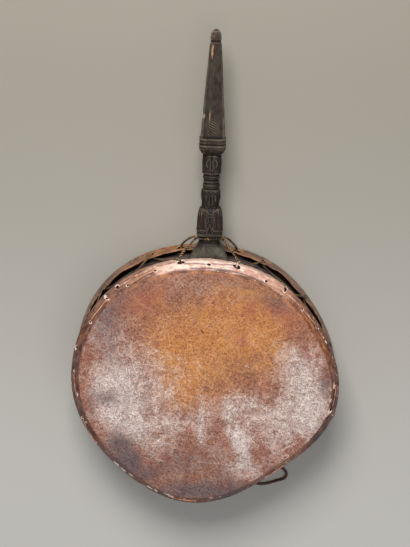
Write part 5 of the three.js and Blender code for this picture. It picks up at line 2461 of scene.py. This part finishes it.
# Grooves, with a height below 0, and ridges pressed into the rim; the grooves are also painted dark as shade.
RIM_FOLDS = (
    Fold((-10.5, 7.6), (-0.8, 6.0), 1.0 * MM, -1.4 * MM),
    Fold((-13, 9.8), (-1.5, 8.9), 1.0 * MM, 0.5 * MM, 0.8),
    Fold((-11, 5.0), (5, 3.8), 1.0 * MM, 0.5 * MM, 0.8),
    Fold((1.5, 6.8), (10, 8.4), 0.9 * MM, -0.7 * MM),
    Fold((-8, 2.4), (30, 2.6), 1.0 * MM, -0.9 * MM),
    Fold((4, 0.6), (40, 1.2), 1.0 * MM, 0.4 * MM, 0.5),
    Fold((-22, 8.6), (-40, 6.2), 1.0 * MM, 0.6 * MM, 0.6),
    Fold((-14, 11.2), (-36, 10.2), 1.0 * MM, -0.9 * MM),
    Fold((-24, 3.0), (-36, 0.8), 1.0 * MM, -1.0 * MM),
    Fold((-38, 4.6), (-47, 3.2), 0.9 * MM, -0.8 * MM),
    Fold((-49, 6.6), (-60, 6.4), 0.9 * MM, -0.9 * MM),
    Fold((37, 8.4), (62, 10.4), 1.0 * MM, -1.2 * MM),
    Fold((40, 12.4), (66, 14.4), 1.1 * MM, 0.6 * MM, 0.3),
    Fold((37, 2.4), (60, 3.4), 0.9 * MM, -0.8 * MM),
    Fold((60, 3), (86, 2.2), 1.0 * MM, -1.0 * MM),
    Fold((62, 7.5), (97, 8), 1.1 * MM, 0.6 * MM, 0.45),
    Fold((62, 11), (96, 12), 1.1 * MM, -0.8 * MM),
    Fold((88, 6.8), (99, 5.6), 1.0 * MM, -1.0 * MM),
    Fold((80, 5), (86, 5), 4 * MM, -0.2 * MM),
    Fold((101.6, 3), (102.4, 22), 5 * MM, 1.7 * MM),
    Fold((-62, 2.8), (-100, 2.6), 1.0 * MM, -0.8 * MM),
    Fold((-64, 9), (-104, 9.6), 1.1 * MM, 0.6 * MM, 0.3),
    Fold((-66, 13), (-118, 13), 1.1 * MM, -0.8 * MM),
)

# Torn holes on the front slope: bearing in degrees, setback and radius in millimetres, stretch along the rim
SLOPE_HOLES = (
    (0.2, 5.9, 1.8, 1.9), (-11.9, 9.8, 4.2, 1.3), (12.3, 8.2, 4.2, 1.5), (26.6, 4.4, 1.9, 1.2),
    (36.0, 10.4, 8.2, 0.3), (47.8, 5.4, 1.4, 1.1), (58.9, 7.1, 2.6, 0.8), (87.0, 4.7, 2.0, 1.2),
    (99.2, 2.9, 2.2, 1.5), (-23.4, 5.4, 1.8, 1.3), (-36.8, 3.0, 1.6, 1.2), (-41.1, 7.1, 2.7, 1.2),
    (-47.9, 5.8, 1.5, 1.0), (-60.6, 4.2, 1.6, 1.0), (-74.1, 7.2, 2.0, 1.2), (-84.6, 5.1, 1.5, 1.0),
    (-96.0, 4.5, 1.6, 1.0), (-107.7, 5.9, 1.9, 1.1), (-121.3, 7.5, 1.8, 1.0), (133.6, 6.0, 1.6, 1.0),
    (146.5, 7.0, 1.6, 1.0), (-165.5, 3.8, 1.5, 1.0), (-177.5, 3.2, 1.8, 1.0),
)


LACE_HOLE = 4 * MM
LASHING_HOLE = 5.6 * MM
LOOP_BEARINGS = (161, 145)


def front_holes(rim: Rim) -> list[Hole]:
    """Lists the front hide's holes.

    Args:
        rim: The drum's rim.

    Returns:
        Its lace holes and the torn stitch holes on its slope.
    """
    holes = []
    for i in range(rim.lace_holes):
        lashing = i in (0, rim.lace_holes - 1)
        radius = LASHING_HOLE if lashing else LACE_HOLE
        holes.append(Hole((i + 0.5) * rim.hole_step, rim.hole_setback, radius, 200 + i, 1.12))
    for i, (bearing, setback, radius, stretch) in enumerate(SLOPE_HOLES):
        lip = (0.5 + 0.22 * radius) * MM
        holes.append(Hole(math.radians(bearing), setback * MM, radius * MM, 300 + i, stretch, lip, 1.15))
    return holes


def back_holes(rim: Rim) -> list[Hole]:
    """Lists the back hide's holes.

    Args:
        rim: The drum's rim.

    Returns:
        Its lace holes, its two lashing holes and the loop's two.
    """
    holes = []
    for i in range(rim.lace_holes - 1):
        holes.append(Hole((i + 1) * rim.hole_step, rim.hole_setback, LACE_HOLE, 400 + i, 1.0, pale=0.7))
    for way in (1, -1):
        holes.append(Hole(way * rim.hole_step / 2, rim.hole_setback, LASHING_HOLE, 420 + way, 1.1, pale=0.7))
    for i, bearing in enumerate(LOOP_BEARINGS):
        holes.append(Hole(math.radians(bearing), rim.hole_setback, 4.2 * MM, 430 + i, 1.0, pale=0.5))
    return holes


def build_heads(rim: Rim, skin: Skin) -> list[Object]:
    """Builds the two hides.

    Args:
        rim: The drum's rim.
        skin: The hide's plain form.

    Returns:
        The front and the back hide.
    """
    front = Head(
        "front_hide_sheet",
        "front_head",
        Facing.FRONT,
        skin,
        front_holes(rim),
        HideFinish("front_hide", scratches=FACE_SCRATCHES, scars=FACE_SCARS),
        "front_hide",
        21,
        FACE_PATCHES,
        tuple(RimPatch(*row) for row in RIM_WEAR_AND_HIGHLIGHTS),
        RIM_FOLDS,
        {"dust": 0.06, "ochre": 0.06},
        edge_lift=1.6 * MM,
    )
    back = Head(
        "back_hide_sheet",
        "back_head",
        Facing.BACK,
        skin,
        back_holes(rim),
        HideFinish(
            "back_hide",
            rim=Pair(Tone("3a221a"), Tone("a87a50")),
            worn=(Tone("7c5a3a"), Tone("c39a68")),
            grooved=0.3,
        ),
        "back_hide",
        51,
        (
            Patch("ochre", -30, -20, 110, 120, 0.6),
            Patch("dust", 80, 60, 90, 80, 0.4),
            Patch("grime_and_shade", 0, 0, 40, 60, 0.2),
        ),
        (),
        (),
        {"dust": 0.1, "grime_and_shade": 0.12, "ochre": 0.05},
        columns=520,
        ragged=2.2 * MM,
        edge_lift=3.4 * MM,
    )
    return [front.build(), back.build()]


def main() -> None:
    """Builds the drum piece by piece and reports each one."""
    logging.basicConfig(level=logging.INFO, format="%(name)s: %(message)s")
    studio = Studio()
    studio.build_camera()
    pieces = [TailLoop().build()]
    rim = Rim()
    skin = Skin(rim)
    handle = Handle(rim)
    pieces += build_heads(rim, skin)
    pieces += Shell(rim).build()
    pieces.append(handle.build())
    pieces += Lacing(rim, skin).build()
    pieces += Bindings(rim, handle).build()
    pieces += LashingEnds(rim, skin).build()
    studio.build_floor_and_lights()
    for piece in pieces:
        log.info("%s: %d points, %d faces", piece.name, len(piece.data.vertices), len(piece.data.polygons))


if __name__ == "__main__":
    main()
